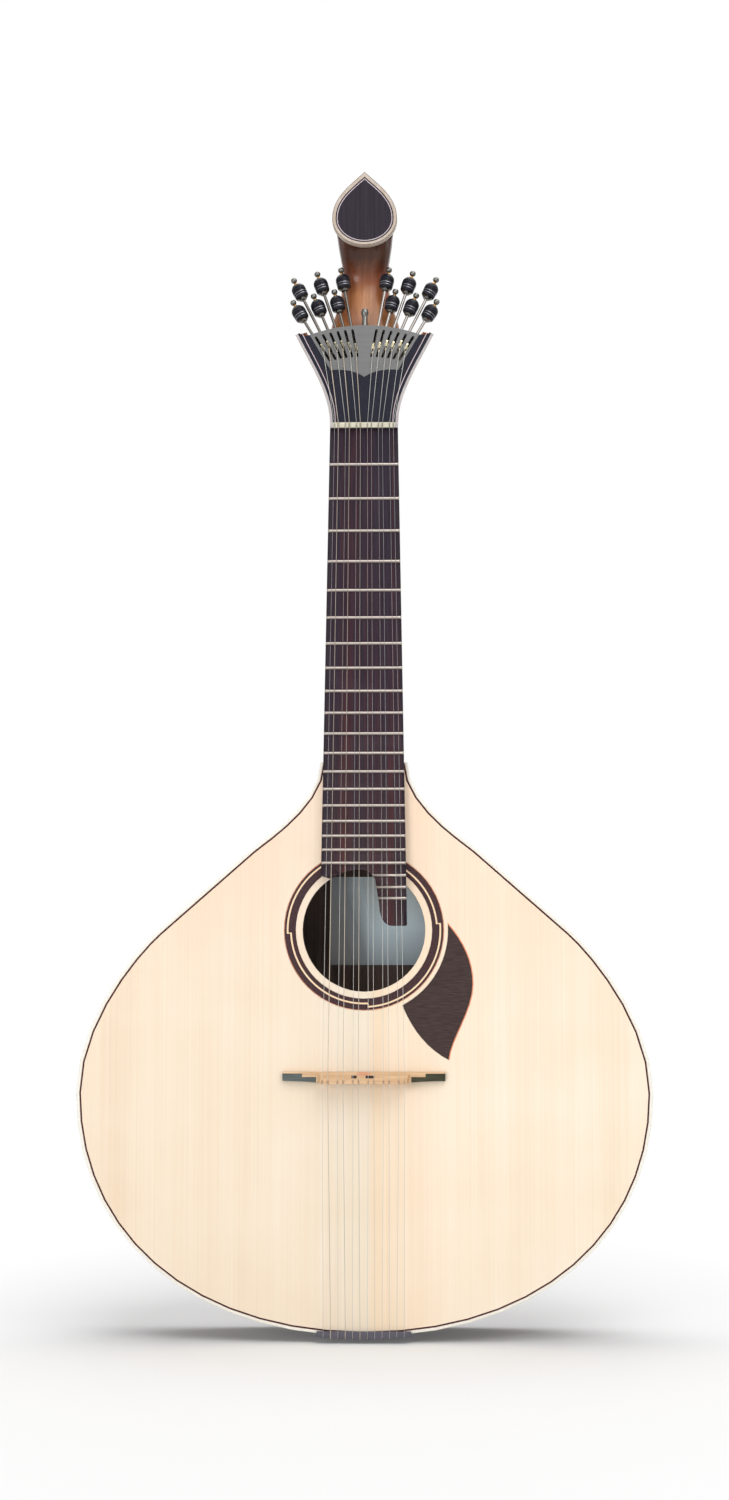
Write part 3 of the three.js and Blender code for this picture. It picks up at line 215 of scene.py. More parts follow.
def noise(tree, vector, detail=3.0, roughness=0.5, distortion=0.0):
    node = tree.nodes.new("ShaderNodeTexNoise")
    node.inputs["Scale"].default_value = 1.0
    node.inputs["Detail"].default_value = detail
    node.inputs["Roughness"].default_value = roughness
    node.inputs["Distortion"].default_value = distortion
    tree.links.new(vector, node.inputs["Vector"])
    return node.outputs["Fac"]


def ramp(tree, fac, stops):
    """Colours for a value from 0 to 1, given as (position, colour)."""
    node = tree.nodes.new("ShaderNodeValToRGB")
    elements = node.color_ramp.elements
    while len(elements) < len(stops):
        elements.new(0.5)
    for element, (position, rgb) in zip(elements, stops):
        element.position = position
        element.color = linear(*rgb)
    tree.links.new(fac, node.inputs["Fac"])
    return node.outputs["Color"]


def ramp_along(tree, index, low, high, stops):
    """Colours that follow one object coordinate, from low to high in metres."""
    return ramp(tree, ranged(tree, axis_value(tree, index), low, high), stops)


def mixed(tree, fac, a, b, mode="MIX"):
    node = tree.nodes.new("ShaderNodeMix")
    node.data_type = "RGBA"
    node.blend_type = mode
    if isinstance(fac, float):
        node.inputs["Factor"].default_value = fac
    else:
        tree.links.new(fac, node.inputs["Factor"])
    tree.links.new(a, node.inputs["A"])
    tree.links.new(b, node.inputs["B"])
    return node.outputs["Result"]


def paint(made, colour):
    tree = made.node_tree
    tree.links.new(colour, tree.nodes["Principled BSDF"].inputs["Base Color"])


def tint(made, colour):
    """Multiplies a painted material by another colour."""
    tree = made.node_tree
    painted = tree.nodes["Principled BSDF"].inputs["Base Color"].links[0].from_socket
    paint(made, mixed(tree, 1.0, painted, colour, "MULTIPLY"))


# Kinds of material


def wood(name, light, dark, streak, grain, bands, roughness=0.45, coat=0.0, mirrored=False,
         contrast=(0.35, 0.65), streak_share=(0.55, 0.75), bump=0.15, specular=0.5):
    """Wood with fine grain and broader streaks of another tone. Grain and bands are scales in 1/m."""
    made = plain(name, light, roughness, coat=coat, specular=specular)
    tree = made.node_tree
    fine = noise(tree, stretched(tree, grain, mirrored), detail=4.0, roughness=0.6)
    broad = noise(tree, stretched(tree, bands, mirrored), detail=2.0, distortion=0.3)
    base = ramp(tree, fine, [(contrast[0], dark), (contrast[1], light)])
    mask = ramp(tree, broad, [(streak_share[0], BLACK), (streak_share[1], WHITE)])
    streaks = ramp(tree, fine, [(0.3, dark), (0.7, streak)])
    paint(made, mixed(tree, mask, base, streaks))
    add_bump(tree, fine, bump)
    return made


def spruce(name):
    """Pale book-matched spruce: fine upright lines, soft bands and silk across the grain, with
    painted light across it: painted shade on the left side, a pale painted glint where the strings
    run just left of the centre line, and a lighter right side.
    """
    made = plain(name, (250, 235, 214), 0.4, coat=0.2, coat_roughness=0.3)
    tree = made.node_tree
    lines = noise(tree, stretched(tree, (620.0, 620.0, 3.0), True), roughness=0.55)
    bands = noise(tree, stretched(tree, (60.0, 60.0, 1.2), True), roughness=0.55)
    cloud = noise(tree, stretched(tree, (13.0, 13.0, 16.0)))
    tone = ramp(tree, lines, [(0.3, (248, 231, 208)), (0.5, (250, 235, 214)), (0.7, (252, 238, 219))])
    soft = ramp(tree, bands, [(0.3, (250, 246, 240)), (0.6, WHITE)])
    silk = ramp(tree, cloud, [(0.3, (250, 246, 240)), (0.7, WHITE)])
    upper = ramp_along(tree, HEIGHT, 0.22, 0.36, [(0.0, WHITE), (1.0, (255, 248, 246))])
    # Painted light across the top: painted shade on the left side, a pale painted glint of the
    # strings just left of the centre line, and a lighter right side
    sides = ramp_along(tree, ACROSS, -0.2, 0.2, [
        (0.0, (248, 245, 242)), (0.45, (250, 250, 250)),
        (0.462, (250, 253, 255)), (0.505, (250, 253, 255)),
        (0.517, (253, 247, 240)), (0.6, (254, 250, 246)), (0.66, WHITE), (1.0, WHITE)])
    for share, layer in [(0.75, soft), (1.0, upper), (0.8, silk), (1.0, sides)]:
        tone = mixed(tree, share, tone, layer, "MULTIPLY")
    paint(made, tone)
    add_bump(tree, lines, 0.05)
    return made


def metal(name, rgb, roughness, scratch):
    """A metal with faint uneven polish. scratch is the stretch of its brushed lines, in 1/m."""
    made = plain(name, rgb, roughness, 1.0)
    tree = made.node_tree
    marks = noise(tree, stretched(tree, scratch), detail=4.0, roughness=0.6)
    polish = ranged(tree, marks, 0.0, 1.0, roughness * 0.75, roughness * 1.25)
    tree.links.new(polish, tree.nodes["Principled BSDF"].inputs["Roughness"])
    add_bump(tree, marks, 0.05)
    return made


def string_metal(name, light_reflection, dark_reflection, roughness):
    """String metal with a painted reflection: darker over the fingerboard than over the soundboard
    and the head.
    """
    made = plain(name, light_reflection, roughness, 1.0)
    stops = [(0.0, light_reflection), (0.15, dark_reflection), (0.84, dark_reflection), (0.95, light_reflection)]
    paint(made, ramp_along(made.node_tree, HEIGHT, 0.3, 0.7, stops))
    return made


# In mm along the string, and in metres
WINDING_PITCH, WINDING_DEPTH = 0.5, 0.00006


def wound_string(name):
    """The wrapping of a bass string shows as fine rings along it."""
    # Painted reflections of the wound wire: lighter over the soundboard and the head, darker over the
    # fingerboard
    made = string_metal(name, (196, 184, 168), (150, 141, 131), 0.35)
    tree = made.node_tree
    along = tree.nodes.new("ShaderNodeAttribute")
    along.attribute_name = "along_mm"
    turns = maths(tree, "MULTIPLY", along.outputs["Fac"], 2 * math.pi / WINDING_PITCH)
    add_bump(tree, maths(tree, "SINE", turns), 0.5, WINDING_DEPTH)
    return made


# Heights between which the stalk darkens, partly in a darker tone of the wood and partly in painted
# shade under the finial, and how uneven that is, in metres
STALK_SHADE_LOW, STALK_SHADE_HIGH, STALK_SHADE_UNEVEN = 0.762, 0.79, 0.02


def neck_wood(name):
    """Red-brown cedar that darkens up the stalk to the finial, partly in its own darker tone and
    partly in painted shade.
    """
    made = wood(name, (196, 133, 80), (150, 94, 56), (156, 82, 46),
                (300.0, 120.0, 9.0), (60.0, 40.0, 5.0), 0.35, 0.25,
                contrast=(0.3, 0.7), streak_share=(0.45, 0.7), specular=0.3)
    tree = made.node_tree
    cloud = noise(tree, stretched(tree, (60.0, 60.0, 20.0)), detail=2.0)
    uneven = maths(tree, "MULTIPLY", cloud, STALK_SHADE_UNEVEN)
    height = maths(tree, "ADD", axis_value(tree, HEIGHT), uneven)
    # Painted shade, together with a darker tone of the wood, up the stalk to the finial
    tint(made, ramp(tree, ranged(tree, height, STALK_SHADE_LOW, STALK_SHADE_HIGH), [
        (0.0, WHITE), (0.45, (200, 172, 172)), (1.0, (112, 104, 118))]))
    return made


def board_wood(name):
    """Dark fingerboard wood with red streaks, cooler towards the nut."""
    made = wood(name, (67, 55, 61), (51, 41, 47), (88, 50, 50),
                (900.0, 900.0, 22.0), (170.0, 30.0, 2.0),
                streak_share=(0.42, 0.62), specular=DARK_GLOSS)
    tint(made, ramp_along(made.node_tree, HEIGHT, 0.34, 0.62, [
        (0.0, WHITE), (0.4, (228, 222, 244)), (1.0, (210, 218, 244))]))
    return made


def label_paper_painted_light(name):
    """Glossy paper inside the soundhole with painted light: a painted glare at the upper right and
    painted shade at the lower left.
    """
    made = plain(name, (200, 216, 226), 0.35, coat=1.0, coat_roughness=0.3, specular=1.0)
    tree = made.node_tree
    height = ranged(tree, axis_value(tree, HEIGHT), 0.258, 0.315, 0.0, 0.4)
    reach = ranged(tree, axis_value(tree, ACROSS), -0.022, 0.004, 0.0, 0.6)
    # Painted shade at the lower left, rising to a painted glare at the upper right
    paint(made, ramp(tree, maths(tree, "ADD", height, reach), [
        (0.3, (28, 31, 36)), (0.55, (104, 122, 134)),
        (0.8, (218, 244, 255)), (1.0, (236, 252, 255))]))
    return made


# Materials. A grain is the scale of its fine lines and that of its broad bands.

BACK_GRAIN = (420.0, 60.0, 10.0), (42.0, 12.0, 1.6)
EBONY_GRAIN = (900.0, 900.0, 30.0), (60.0, 60.0, 8.0)
MAPLE_GRAIN = (300.0, 300.0, 40.0), (40.0, 40.0, 8.0)
HORN_GRAIN = (60.0, 500.0, 500.0), (20.0, 80.0, 80.0)

SPRUCE = spruce("spruce")
BAR_SPRUCE = wood("bar_spruce", (226, 200, 160), (205, 176, 134), (214, 186, 146),
                  (18.0, 500.0, 500.0), (3.0, 60.0, 60.0), 0.7)
LINING = wood("lining_wood", (214, 188, 148), (190, 160, 120), (200, 172, 132),
              (120.0, 120.0, 120.0), (30.0, 30.0, 30.0), 0.75)
BARE_ROSEWOOD = wood("rosewood_bare", (104, 90, 84), (80, 68, 64), (112, 92, 84),
                     *BACK_GRAIN, 0.6, specular=DARK_GLOSS)
ROSEWOOD = wood("rosewood", (104, 58, 42), (48, 26, 21), (134, 76, 48),
                *BACK_GRAIN, 0.3, 0.25, True, specular=0.2)
RIB_WOOD = wood("rib_rosewood", (96, 54, 40), (54, 30, 24), (122, 70, 46),
                (9.0, 520.0, 9.0), (2.5, 60.0, 2.5), 0.3, 0.25, specular=0.2)
GUARD = wood("guard_rosewood", (76, 62, 60), (60, 48, 47), (68, 51, 48),
             (110.0, 900.0, 1100.0), (14.0, 60.0, 70.0), 0.5, specular=DARK_GLOSS)
RING = wood("rosette_rosewood", (80, 60, 62), (60, 42, 46), (92, 52, 50),
            (900.0, 900.0, 700.0), (60.0, 60.0, 40.0), 0.5, specular=DARK_GLOSS)
NECK = neck_wood("neck_wood")
BOARD = board_wood("fingerboard_wood")
BOARD_EDGE = wood("fingerboard_edge", (56, 47, 55), (42, 35, 42), (50, 40, 47),
                  *EBONY_GRAIN, specular=DARK_GLOSS)
EBONY = wood("ebony", (34, 35, 48), (26, 27, 39), (30, 30, 43),
             *EBONY_GRAIN, 0.42, specular=DARK_GLOSS)
FACE = wood("finial_ebony", (53, 47, 57), (43, 37, 45), (58, 42, 48),
            (500.0, 500.0, 10.0), (90.0, 90.0, 3.0), 0.5, specular=DARK_GLOSS)
EDGE_MAPLE = wood("edge_binding_maple", (246, 241, 230), (238, 231, 218), (242, 236, 224),
                  (300.0, 300.0, 300.0), (40.0, 40.0, 40.0), 0.4, 0.2)
HEAD_MAPLE = wood("head_binding_maple", (190, 183, 182), (176, 168, 168), (184, 176, 176),
                  *MAPLE_GRAIN, specular=DARK_GLOSS)
RIM_MAPLE = wood("finial_rim_maple", (206, 193, 182), (190, 175, 160), (198, 184, 170),
                 *MAPLE_GRAIN, specular=DARK_GLOSS)
WHITE_LINE = plain("white_line", (202, 190, 196), specular=DARK_GLOSS)
DARK_LINE = plain("dark_line", (44, 32, 38), specular=DARK_GLOSS)
RED_LINE = plain("red_line", (76, 36, 38), specular=DARK_GLOSS)
ORANGE_LINE = plain("orange_line", (224, 138, 98))
PALE_LINE = plain("pale_line", (246, 216, 178))
BRIDGE_WOOD = wood("bridge_wood", (222, 186, 146), (200, 160, 118), (212, 170, 128),
                   (30.0, 500.0, 500.0), (10.0, 80.0, 80.0), 0.45, 0.15)
BRIDGE_KEY = plain("bridge_key", (212, 152, 116))
CAP_BASS = wood("bridge_cap_bass", (100, 108, 106), (80, 86, 84), (110, 118, 116),
                *HORN_GRAIN, 0.4, specular=DARK_GLOSS)
CAP_TREBLE = wood("bridge_cap_treble", (76, 75, 60), (56, 56, 44), (84, 84, 66),
                  *HORN_GRAIN, 0.4, specular=DARK_GLOSS)
BONE = wood("bone", (212, 207, 188), (196, 190, 168), (204, 198, 178),
            (120.0, 200.0, 200.0), (60.0, 40.0, 40.0), 0.35, 0.2, bump=0.04)
FRET = plain("fret_metal", (174, 164, 157), 0.34, 1.0)
NICKEL = plain("nickel", (108, 107, 103), 0.2, 1.0)
PLATE = metal("fan_plate_nickel", (97, 97, 97), 0.5, (60.0, 60.0, 700.0))
# One steel in two painted reflections: darker on the bass screws, brighter on the treble ones
SHAFT_DARK_REFLECTION = plain("screw_steel_painted_dark", (98, 93, 88), 0.25, 1.0)
SHAFT_BRIGHT_REFLECTION = plain("screw_steel_painted_bright", (150, 145, 141), 0.25, 1.0)
# One brass in two painted reflections: a bright glint on the treble hooks, darker on the bass ones
BRASS = plain("hook_brass", (232, 220, 178), 0.2, 1.0)
BRASS_DARK_REFLECTION = plain("hook_brass_painted_dark", (150, 144, 122), 0.3, 1.0)
# The metal neck under each ball, in a warm gold that is a painted reflection of the wood
BALL_NECK_REFLECTION = plain("ball_neck_painted_reflection", (196, 158, 100), 0.3, 1.0)
KNOB = plain("knob_black", (20, 20, 30), 0.35, coat=0.2, coat_roughness=0.2, specular=DARK_GLOSS)
KNOB_RING = plain("knob_ring", (128, 128, 134), 0.3, 1.0)
DARK_METAL = metal("tailpiece_blued", (96, 94, 104), 0.42, (300.0, 300.0, 40.0))
# The strings' two colours are painted reflections: the lighter over the soundboard and the head, the
# darker over the fingerboard
STEEL = string_metal("plain_string", (200, 198, 193), (140, 138, 138), 0.3)
WOUND = wound_string("wound_string")
LABEL = label_paper_painted_light("label_paper_painted_light")


# Mesh helpers. Angles are in degrees, tolerances in metres.

EDGE_ANGLE = 32.0
WELD_DISTANCE, FLAT_ANGLE = 2e-6, 0.4
LEVEL_TOLERANCE, FACING = 5e-5, 0.999
MITRE_LIMIT = 0.4
PROUD, SUNK = 0.03, -0.3


def shown(name, mesh, materials, smooth):
    """A new object with its materials and smooth shading."""
    for entry in materials if isinstance(materials, (list, tuple)) else [materials]:
        mesh.materials.append(entry)
    mesh.shade_smooth()
    mesh.set_sharp_from_angle(angle=math.radians(smooth))
    made = bpy.data.objects.new(name, mesh)
    bpy.context.scene.collection.objects.link(made)
    return made


def make_object(name, verts, faces, materials, indices=None, smooth=35.0):
    """An object from points and faces, with its faces turned outwards."""
    mesh = bpy.data.meshes.new(name)
    mesh.from_pydata([tuple(v) for v in verts], [], faces)
    if indices is not None:
        mesh.polygons.foreach_set("material_index", indices)
    bm = bmesh.new()
    bm.from_mesh(mesh)
    bmesh.ops.recalc_face_normals(bm, faces=bm.faces)
    bm.to_mesh(mesh)
    bm.free()
    return shown(name, mesh, materials, smooth)


def settle(obj, node=None, body=INSTRUMENT):
    """Puts an object on its body, and hides the node it stands for."""
    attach(obj, body)
    if node:
        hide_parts(node)
    return obj


def bevelled(obj, width):
    """Rounds the sharp edges, in mm."""
    made = obj.modifiers.new("edges", "BEVEL")
    made.width = width * MM
    made.segments = 2
    made.limit_method = "ANGLE"
    made.angle_limit = math.radians(EDGE_ANGLE)
    made.harden_normals = True
    made.use_clamp_overlap = True


def welded(node):
    """The node's mesh with its doubled corners joined and its flat faces whole."""
    bm = bmesh.new()
    bm.from_mesh(frame["nodes"][node].data)
    bmesh.ops.remove_doubles(bm, verts=bm.verts, dist=WELD_DISTANCE)
    bmesh.ops.dissolve_limit(bm, angle_limit=math.radians(FLAT_ANGLE), verts=bm.verts, edges=bm.edges)
    return bm


def refined(node, materials, bevel=0.0, angle=EDGE_ANGLE, body=INSTRUMENT,
            planes=(), pick=None):
    """A smoothly shaded copy of a CAD node that stands for it.

    Planes cut its faces where their material changes. pick gives a face's material from its centre
    in the maker's plane and from how far it faces the front.
    """
    bm = welded(node)
    for point, normal in planes:
        bmesh.ops.bisect_plane(
            bm, geom=bm.verts[:] + bm.edges[:] + bm.faces[:], plane_co=point, plane_no=normal)
    if pick:
        for face in bm.faces:
            centre = face.calc_center_median() / MM
            face.material_index = pick(centre.x, centre.z, -centre.y, -face.normal.y)
    mesh = bpy.data.meshes.new(f"{node}_look")
    bm.to_mesh(mesh)
    bm.free()
    made = settle(shown(f"{node}_look", mesh, materials, angle), node, body)
    if bevel:
        bevelled(made, bevel)


def line_length(ring):
    return sum((a - b).length for a, b in zip(ring, ring[1:] + ring[:1]))


def flat_loops(node, normal, level):
    """The closed border loops of a node's flat face at a level along a normal, longest first."""
    def lies_flat(face):
        off = abs(face.calc_center_median().dot(normal) - level)
        return face.normal.dot(normal) > FACING and off < LEVEL_TOLERANCE

    bm = welded(node)
    chosen = {f for f in bm.faces if lies_flat(f)}
    after = {}
    for face in chosen:
        for loop in face.loops:
            if not any(f in chosen for f in loop.edge.link_faces if f is not face):
                after[loop.vert.index] = loop.link_loop_next.vert.index
    places = {v.index: v.co.copy() for v in bm.verts}
    bm.free()
    loops = []
    while after:
        start, now = after.popitem()
        ring = [places[start]]
        while now != start and now in after:
            ring.append(places[now])
            now = after.pop(now)
        loops.append(ring)
    return sorted(loops, key=line_length, reverse=True)


def face_loop(node):
    """The outline of a node's flat front face."""
    return flat_loops(node, FRONT, -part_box(node)[0].y)[0]


def ways_round(ring, start, end):
    """The two ways along a ring from one of its points to another, forwards first."""
    count = len(ring)
    a, b = ring.index(start), ring.index(end)
    return [
        [ring[(a + step * i) % count] for i in range((step * (b - a)) % count + 1)]
        for step in (1, -1)
    ]


def offset_line(points, normal, distance, closed=False):
    """A line in a plane moved towards normal x along, by one distance or by one for each point."""
    made = []
    count = len(points)
    far = np.broadcast_to(distance, count)
    for i, p in enumerate(points):
        before = points[i - 1] if closed or i > 0 else None
        after = points[(i + 1) % count] if closed or i < count - 1 else None
        a = (p - before).normalized() if before is not None else (after - p).normalized()
        b = (after - p).normalized() if after is not None else a
        along = (a + b).normalized()
        made.append(p + normal.cross(along) * (float(far[i]) / max(along.dot(b), MITRE_LIMIT)))
    return made


def inward(ring):
    """The sign of offset_line that leads into a closed ring in a plane facing the front."""
    moved = offset_line(ring, FRONT, 0.1 * MM, True)
    return 1.0 if line_length(moved) < line_length(ring) else -1.0


def loft(name, sections, material, loop=False, smooth=40.0, indices=None):
    """A skin over sections of as many points each, with flat ends or joined into a ring."""
    sides = len(sections[0])
    verts = [p for section in sections for p in section]
    spans = len(sections) if loop else len(sections) - 1
    faces = []
    for i in range(spans):
        a, b = i * sides, ((i + 1) % len(sections)) * sides
        for j in range(sides):
            k = (j + 1) % sides
            faces.append((a + j, a + k, b + k, b + j))
    marks = None if indices is None else [indices[i] for i in range(spans) for _ in range(sides)]
    if not loop:
        faces.append(tuple(range(sides)))
        last = (len(sections) - 1) * sides
        faces.append(tuple(range(last, last + sides)))
        if marks is not None:
            marks += [indices[0], indices[-1]]
    return make_object(name, verts, faces, material, marks, smooth)


def ribbon(name, line, other, normal, material, closed=False, lift=0.0):
    """A thin strip between two lines of a flat face, let into it and a little proud of it."""
    high, low = normal * (PROUD + lift) * MM, normal * SUNK * MM
    sections = [(a + high, b + high, b + low, a + low) for a, b in zip(line, other)]
    settle(loft(name, sections, material, closed), None)


def strip(name, line, normal, start, end, material, closed=False):
    """A ribbon between two distances from a line of a flat face, in mm."""
    near, far = (offset_line(line, normal, distance * MM, closed) for distance in (start, end))
    ribbon(name, near, far, normal, material, closed)


def edging(name, ring, start, width, material):
    """A closed strip that runs along a face's outline, from a distance inside it, in mm."""
    turn = inward(ring)
    strip(name, ring, FRONT, turn * start, turn * (start + width), material, True)


def tube(name, points, radius, material, sides=8):
    """A round tube along points, with the length run so far kept on each corner in mm."""
    count = len(points)
    tangents = [
        (points[min(i + 1, count - 1)] - points[max(i - 1, 0)]).normalized() for i in range(count)
    ]
    start = UP if abs(tangents[0].x) > 0.9 else SIDEWAYS
    side = (start - tangents[0] * start.dot(tangents[0])).normalized()
    turns = [2 * math.pi * k / sides for k in range(sides)]
    sections, run, lengths = [], 0.0, []
    for i, (p, t) in enumerate(zip(points, tangents)):
        side = (side - t * side.dot(t)).normalized()
        up = t.cross(side)
        run += (p - points[i - 1]).length / MM if i else 0.0
        sections.append([p + (side * math.cos(a) + up * math.sin(a)) * radius * MM for a in turns])
        lengths += [run] * sides
    made = loft(name, sections, material, smooth=60.0)
    made.data.attributes.new("along_mm", "FLOAT", "POINT").data.foreach_set("value", lengths)
    return made


def joined(name, objects):
    """Several objects as one, with their materials kept."""
    first = objects[0]
    with bpy.context.temp_override(active_object=first, selected_editable_objects=objects,
                                   selected_objects=objects, object=first):
        bpy.ops.object.join()
    first.name = name
    first.data.name = name
    return first


# Body

refined("soundboard", SPRUCE, 0.25)
refined("back", [ROSEWOOD, BARE_ROSEWOOD], 0.6,
        pick=lambda x, y, z, front: int(front > 0.5))
for node, material, slot, bevel in [
    ("rib_bass", RIB_WOOD, "rosewood", 0.2),
    ("rib_treble", RIB_WOOD, "rosewood", 0.2),
    ("edge_binding", EDGE_MAPLE, "binding", 0.5),
    ("rosette", RING, "rosewood", 0.0),
    ("scratch_guard", GUARD, "rosewood", 0.1),
]:
    refined(node, material, bevel)
for node in ("tail_block", "lining_top", "lining_back"):
    refined(node, LINING, 0.4)
for node in ("top_bar_upper", "top_bar_middle", "top_bar_lower", "back_bar_upper", "back_bar_lower"):
    refined(node, BAR_SPRUCE, 0.6)

PURFLING_WIDTH, ROSETTE_EDGE = 1.0, 0.3
GUARD_EDGE_OUT, GUARD_EDGE_IN = 0.3, 0.45

edging("purfling", flat_loops("soundboard", FRONT, 0.0)[0], 0.0, PURFLING_WIDTH, RED_LINE)
edging("rosette_edge", face_loop("rosette"), 0.0, ROSETTE_EDGE, ORANGE_LINE)


def guard_edge():
    """A line along the guard's outer side, from its upper tip to its lower one."""
    ring = face_loop("scratch_guard")
    ways = ways_round(ring, max(ring, key=lambda p: p.z), min(ring, key=lambda p: p.z))
    outer = max(range(2), key=lambda i: sum(p.x for p in ways[i]) / len(ways[i]))
    turn = inward(ring) if outer == 0 else -inward(ring)
    strip("guard_edge", ways[outer], FRONT, -turn * GUARD_EDGE_OUT, turn * GUARD_EDGE_IN,
          ORANGE_LINE)


guard_edge()


# Rosette: a pale line that steps between two radii, at angles in degrees

LINE = 1.2
OUTER_LINE, INNER_LINE = 54.2, 51.8
LINE_STOPS = (124.0, 182.3, 273.2, 365.0, 416.0)
ARC_STEP = 2.5
STEP_SHARE, STEP_LIFT = 0.28, 0.005


def arc(radius, start, end, steps):
    return [
        local(radius * math.cos(math.radians(a)), HOLE_Y + radius * math.sin(math.radians(a)))
        for a in np.linspace(start, end, steps)
    ]


for word, start, end, radius in zip("abcd", LINE_STOPS, LINE_STOPS[1:], (OUTER_LINE, INNER_LINE) * 2):
    steps = int((end - start) / ARC_STEP)
    ribbon(f"rosette_line_{word}", arc(radius + LINE / 2, start, end, steps),
           arc(radius - LINE / 2, start, end, steps), FRONT, PALE_LINE)
for word, angle in zip("abc", LINE_STOPS[1:]):
    half = math.degrees(LINE / OUTER_LINE) * STEP_SHARE
    high, low = OUTER_LINE + LINE / 2, INNER_LINE - LINE / 2
    ribbon(f"rosette_step_{word}", arc(high, angle - half, angle + half, 3),
           arc(low, angle - half, angle + half, 3), FRONT, PALE_LINE, lift=STEP_LIFT)


# A blank label on the inner face of the back, seen through the soundhole

LABEL_X, LABEL_Y = (-27.0, 60.0), (259.0, 324.0)
LABEL_STEPS = 8
LABEL_FRONT, LABEL_BACK = 0.3, 0.06
RAY_START_Z = -20.0

back_shape = welded("back")
back_tree = BVHTree.FromBMesh(back_shape)
back_shape.free()


def on_back(x, y, clear):
    """The back's inner face behind a point of the front, moved forward by a gap in mm."""
    hit = back_tree.ray_cast(local(x, y, RAY_START_Z), -FRONT)[0]
    return hit + FRONT * clear * MM


def blank_label():
    """A sheet of two layers that follows the back, closed along its rim."""
    wide = LABEL_STEPS + 1
    columns, rows = np.linspace(*LABEL_X, wide), np.linspace(*LABEL_Y, wide)
    layers = [
        [on_back(x, y, clear) for y in rows for x in columns]
        for clear in (LABEL_FRONT, LABEL_BACK)
    ]
    faces = [
        (i * wide + j, i * wide + j + 1, (i + 1) * wide + j + 1, (i + 1) * wide + j)
        for i in range(LABEL_STEPS) for j in range(LABEL_STEPS)
    ]
    count = wide * wide
    rim = (
        list(range(wide)) + [i * wide + wide - 1 for i in range(1, wide)]
        + [(wide - 1) * wide + j for j in range(wide - 2, -1, -1)]
        + [i * wide for i in range(wide - 2, 0, -1)]
    )
    faces += [tuple(count + i for i in reversed(face)) for face in faces]
    faces += [(a, b, b + count, a + count) for a, b in zip(rim, rim[1:] + rim[:1])]
    settle(make_object("blank_label", layers[0] + layers[1], faces, LABEL))


blank_label()


# Neck, fingerboard and nut

refined("neck", NECK, 0.35, 40.0)

BOARD_NUT_HALF, BOARD_END_HALF, BOARD_END_Y = 24.45, 30.6, 330.0
BOARD_SLOPE = (BOARD_END_HALF - BOARD_NUT_HALF) / (NUT_Y - BOARD_END_Y)
BOARD_EDGE_WIDTH = 2.6
BOARD_MARK, FRET_MARK, BOARD_EDGE_MARK = range(3)
ABOVE_BOARD = 0.02
# The leftover of a fret at the board's bass end stays dark
STUB_X, STUB_Y = 3.0, 325.0


def board_part(x, y, z, front):
    if z > board_top_z(y) + ABOVE_BOARD and not (x < STUB_X and y < STUB_Y):
        return FRET_MARK
    half = BOARD_NUT_HALF + (NUT_Y - y) * BOARD_SLOPE
    return BOARD_EDGE_MARK if abs(x) > half - BOARD_EDGE_WIDTH else BOARD_MARK


board_cuts = [
    (local(sign * (BOARD_NUT_HALF - BOARD_EDGE_WIDTH), NUT_Y),
     Vector((sign, 0, BOARD_SLOPE)).normalized())
    for sign in (-1, 1)
]
refined("fingerboard", [BOARD, FRET, BOARD_EDGE], 0.0, 50.0,
        planes=board_cuts, pick=board_part)

NUT_END = 22.2
refined("nut", [BONE, HEAD_MAPLE], 0.25,
        planes=[(local(sign * NUT_END, NUT_Y), SIDEWAYS) for sign in (-1, 1)],
        pick=lambda x, y, z, front: int(abs(x) > NUT_END))


# Head: its plane is that of the fan plate

joint = {j["name"]: j for j in frame["joints"]}
axis_of = {k: Vector(joint[f"screw_turn_{k:02d}"]["axis"]) for k in range(1, STRINGS + 1)}
place_of = {k: Vector(joint[f"screw_turn_{k:02d}"]["pos_m"]) for k in range(1, STRINGS + 1)}
HEAD_UP = (axis_of[COURSES] + axis_of[COURSES + 1]).normalized()
HEAD_OUT = SIDEWAYS.cross(HEAD_UP).normalized()
head_level = place_of[1].dot(HEAD_OUT) + SCREW_DEPTH * MM
head_rings = flat_loops("neck", HEAD_OUT, head_level)
veneer_ring = flat_loops("head_veneer", HEAD_OUT, head_level)[0]

BINDING_OUT, BINDING_WIDTH, BINDING_DEPTH, BINDING_LIFT = 0.2, 2.0, 9.0, 0.05
BINDING_LEAN = BINDING_DEPTH * HEAD_BACK_INSET / HEAD_DEPTH
BINDING_BEVEL = 0.2
DARK_LINE_START, DARK_LINE_END = BINDING_WIDTH - 0.25, HEAD_BINDING + 0.4
# Distance of the lines from the veneer's edge at the nut and at the ear, and their start and width
LINE_GAP = (0.5, 1.9)
HEAD_LINES = [("white", 0.0, 0.5, WHITE_LINE), ("red", 0.5, 0.4, RED_LINE)]
# Weight of the height beside the width's of 1, in finding the ends of the head's long edge
NUT_CORNER, EAR_CORNER = -1.2, 0.5


def long_edge(ring, side):
    """The long curved edge of a ring on one side of the head, from the nut upwards."""
    low, high = (
        max(ring, key=lambda p: side * p.x + weight * p.dot(HEAD_UP))
        for weight in (NUT_CORNER, EAR_CORNER)
    )
    return min(ways_round(ring, low, high), key=len)


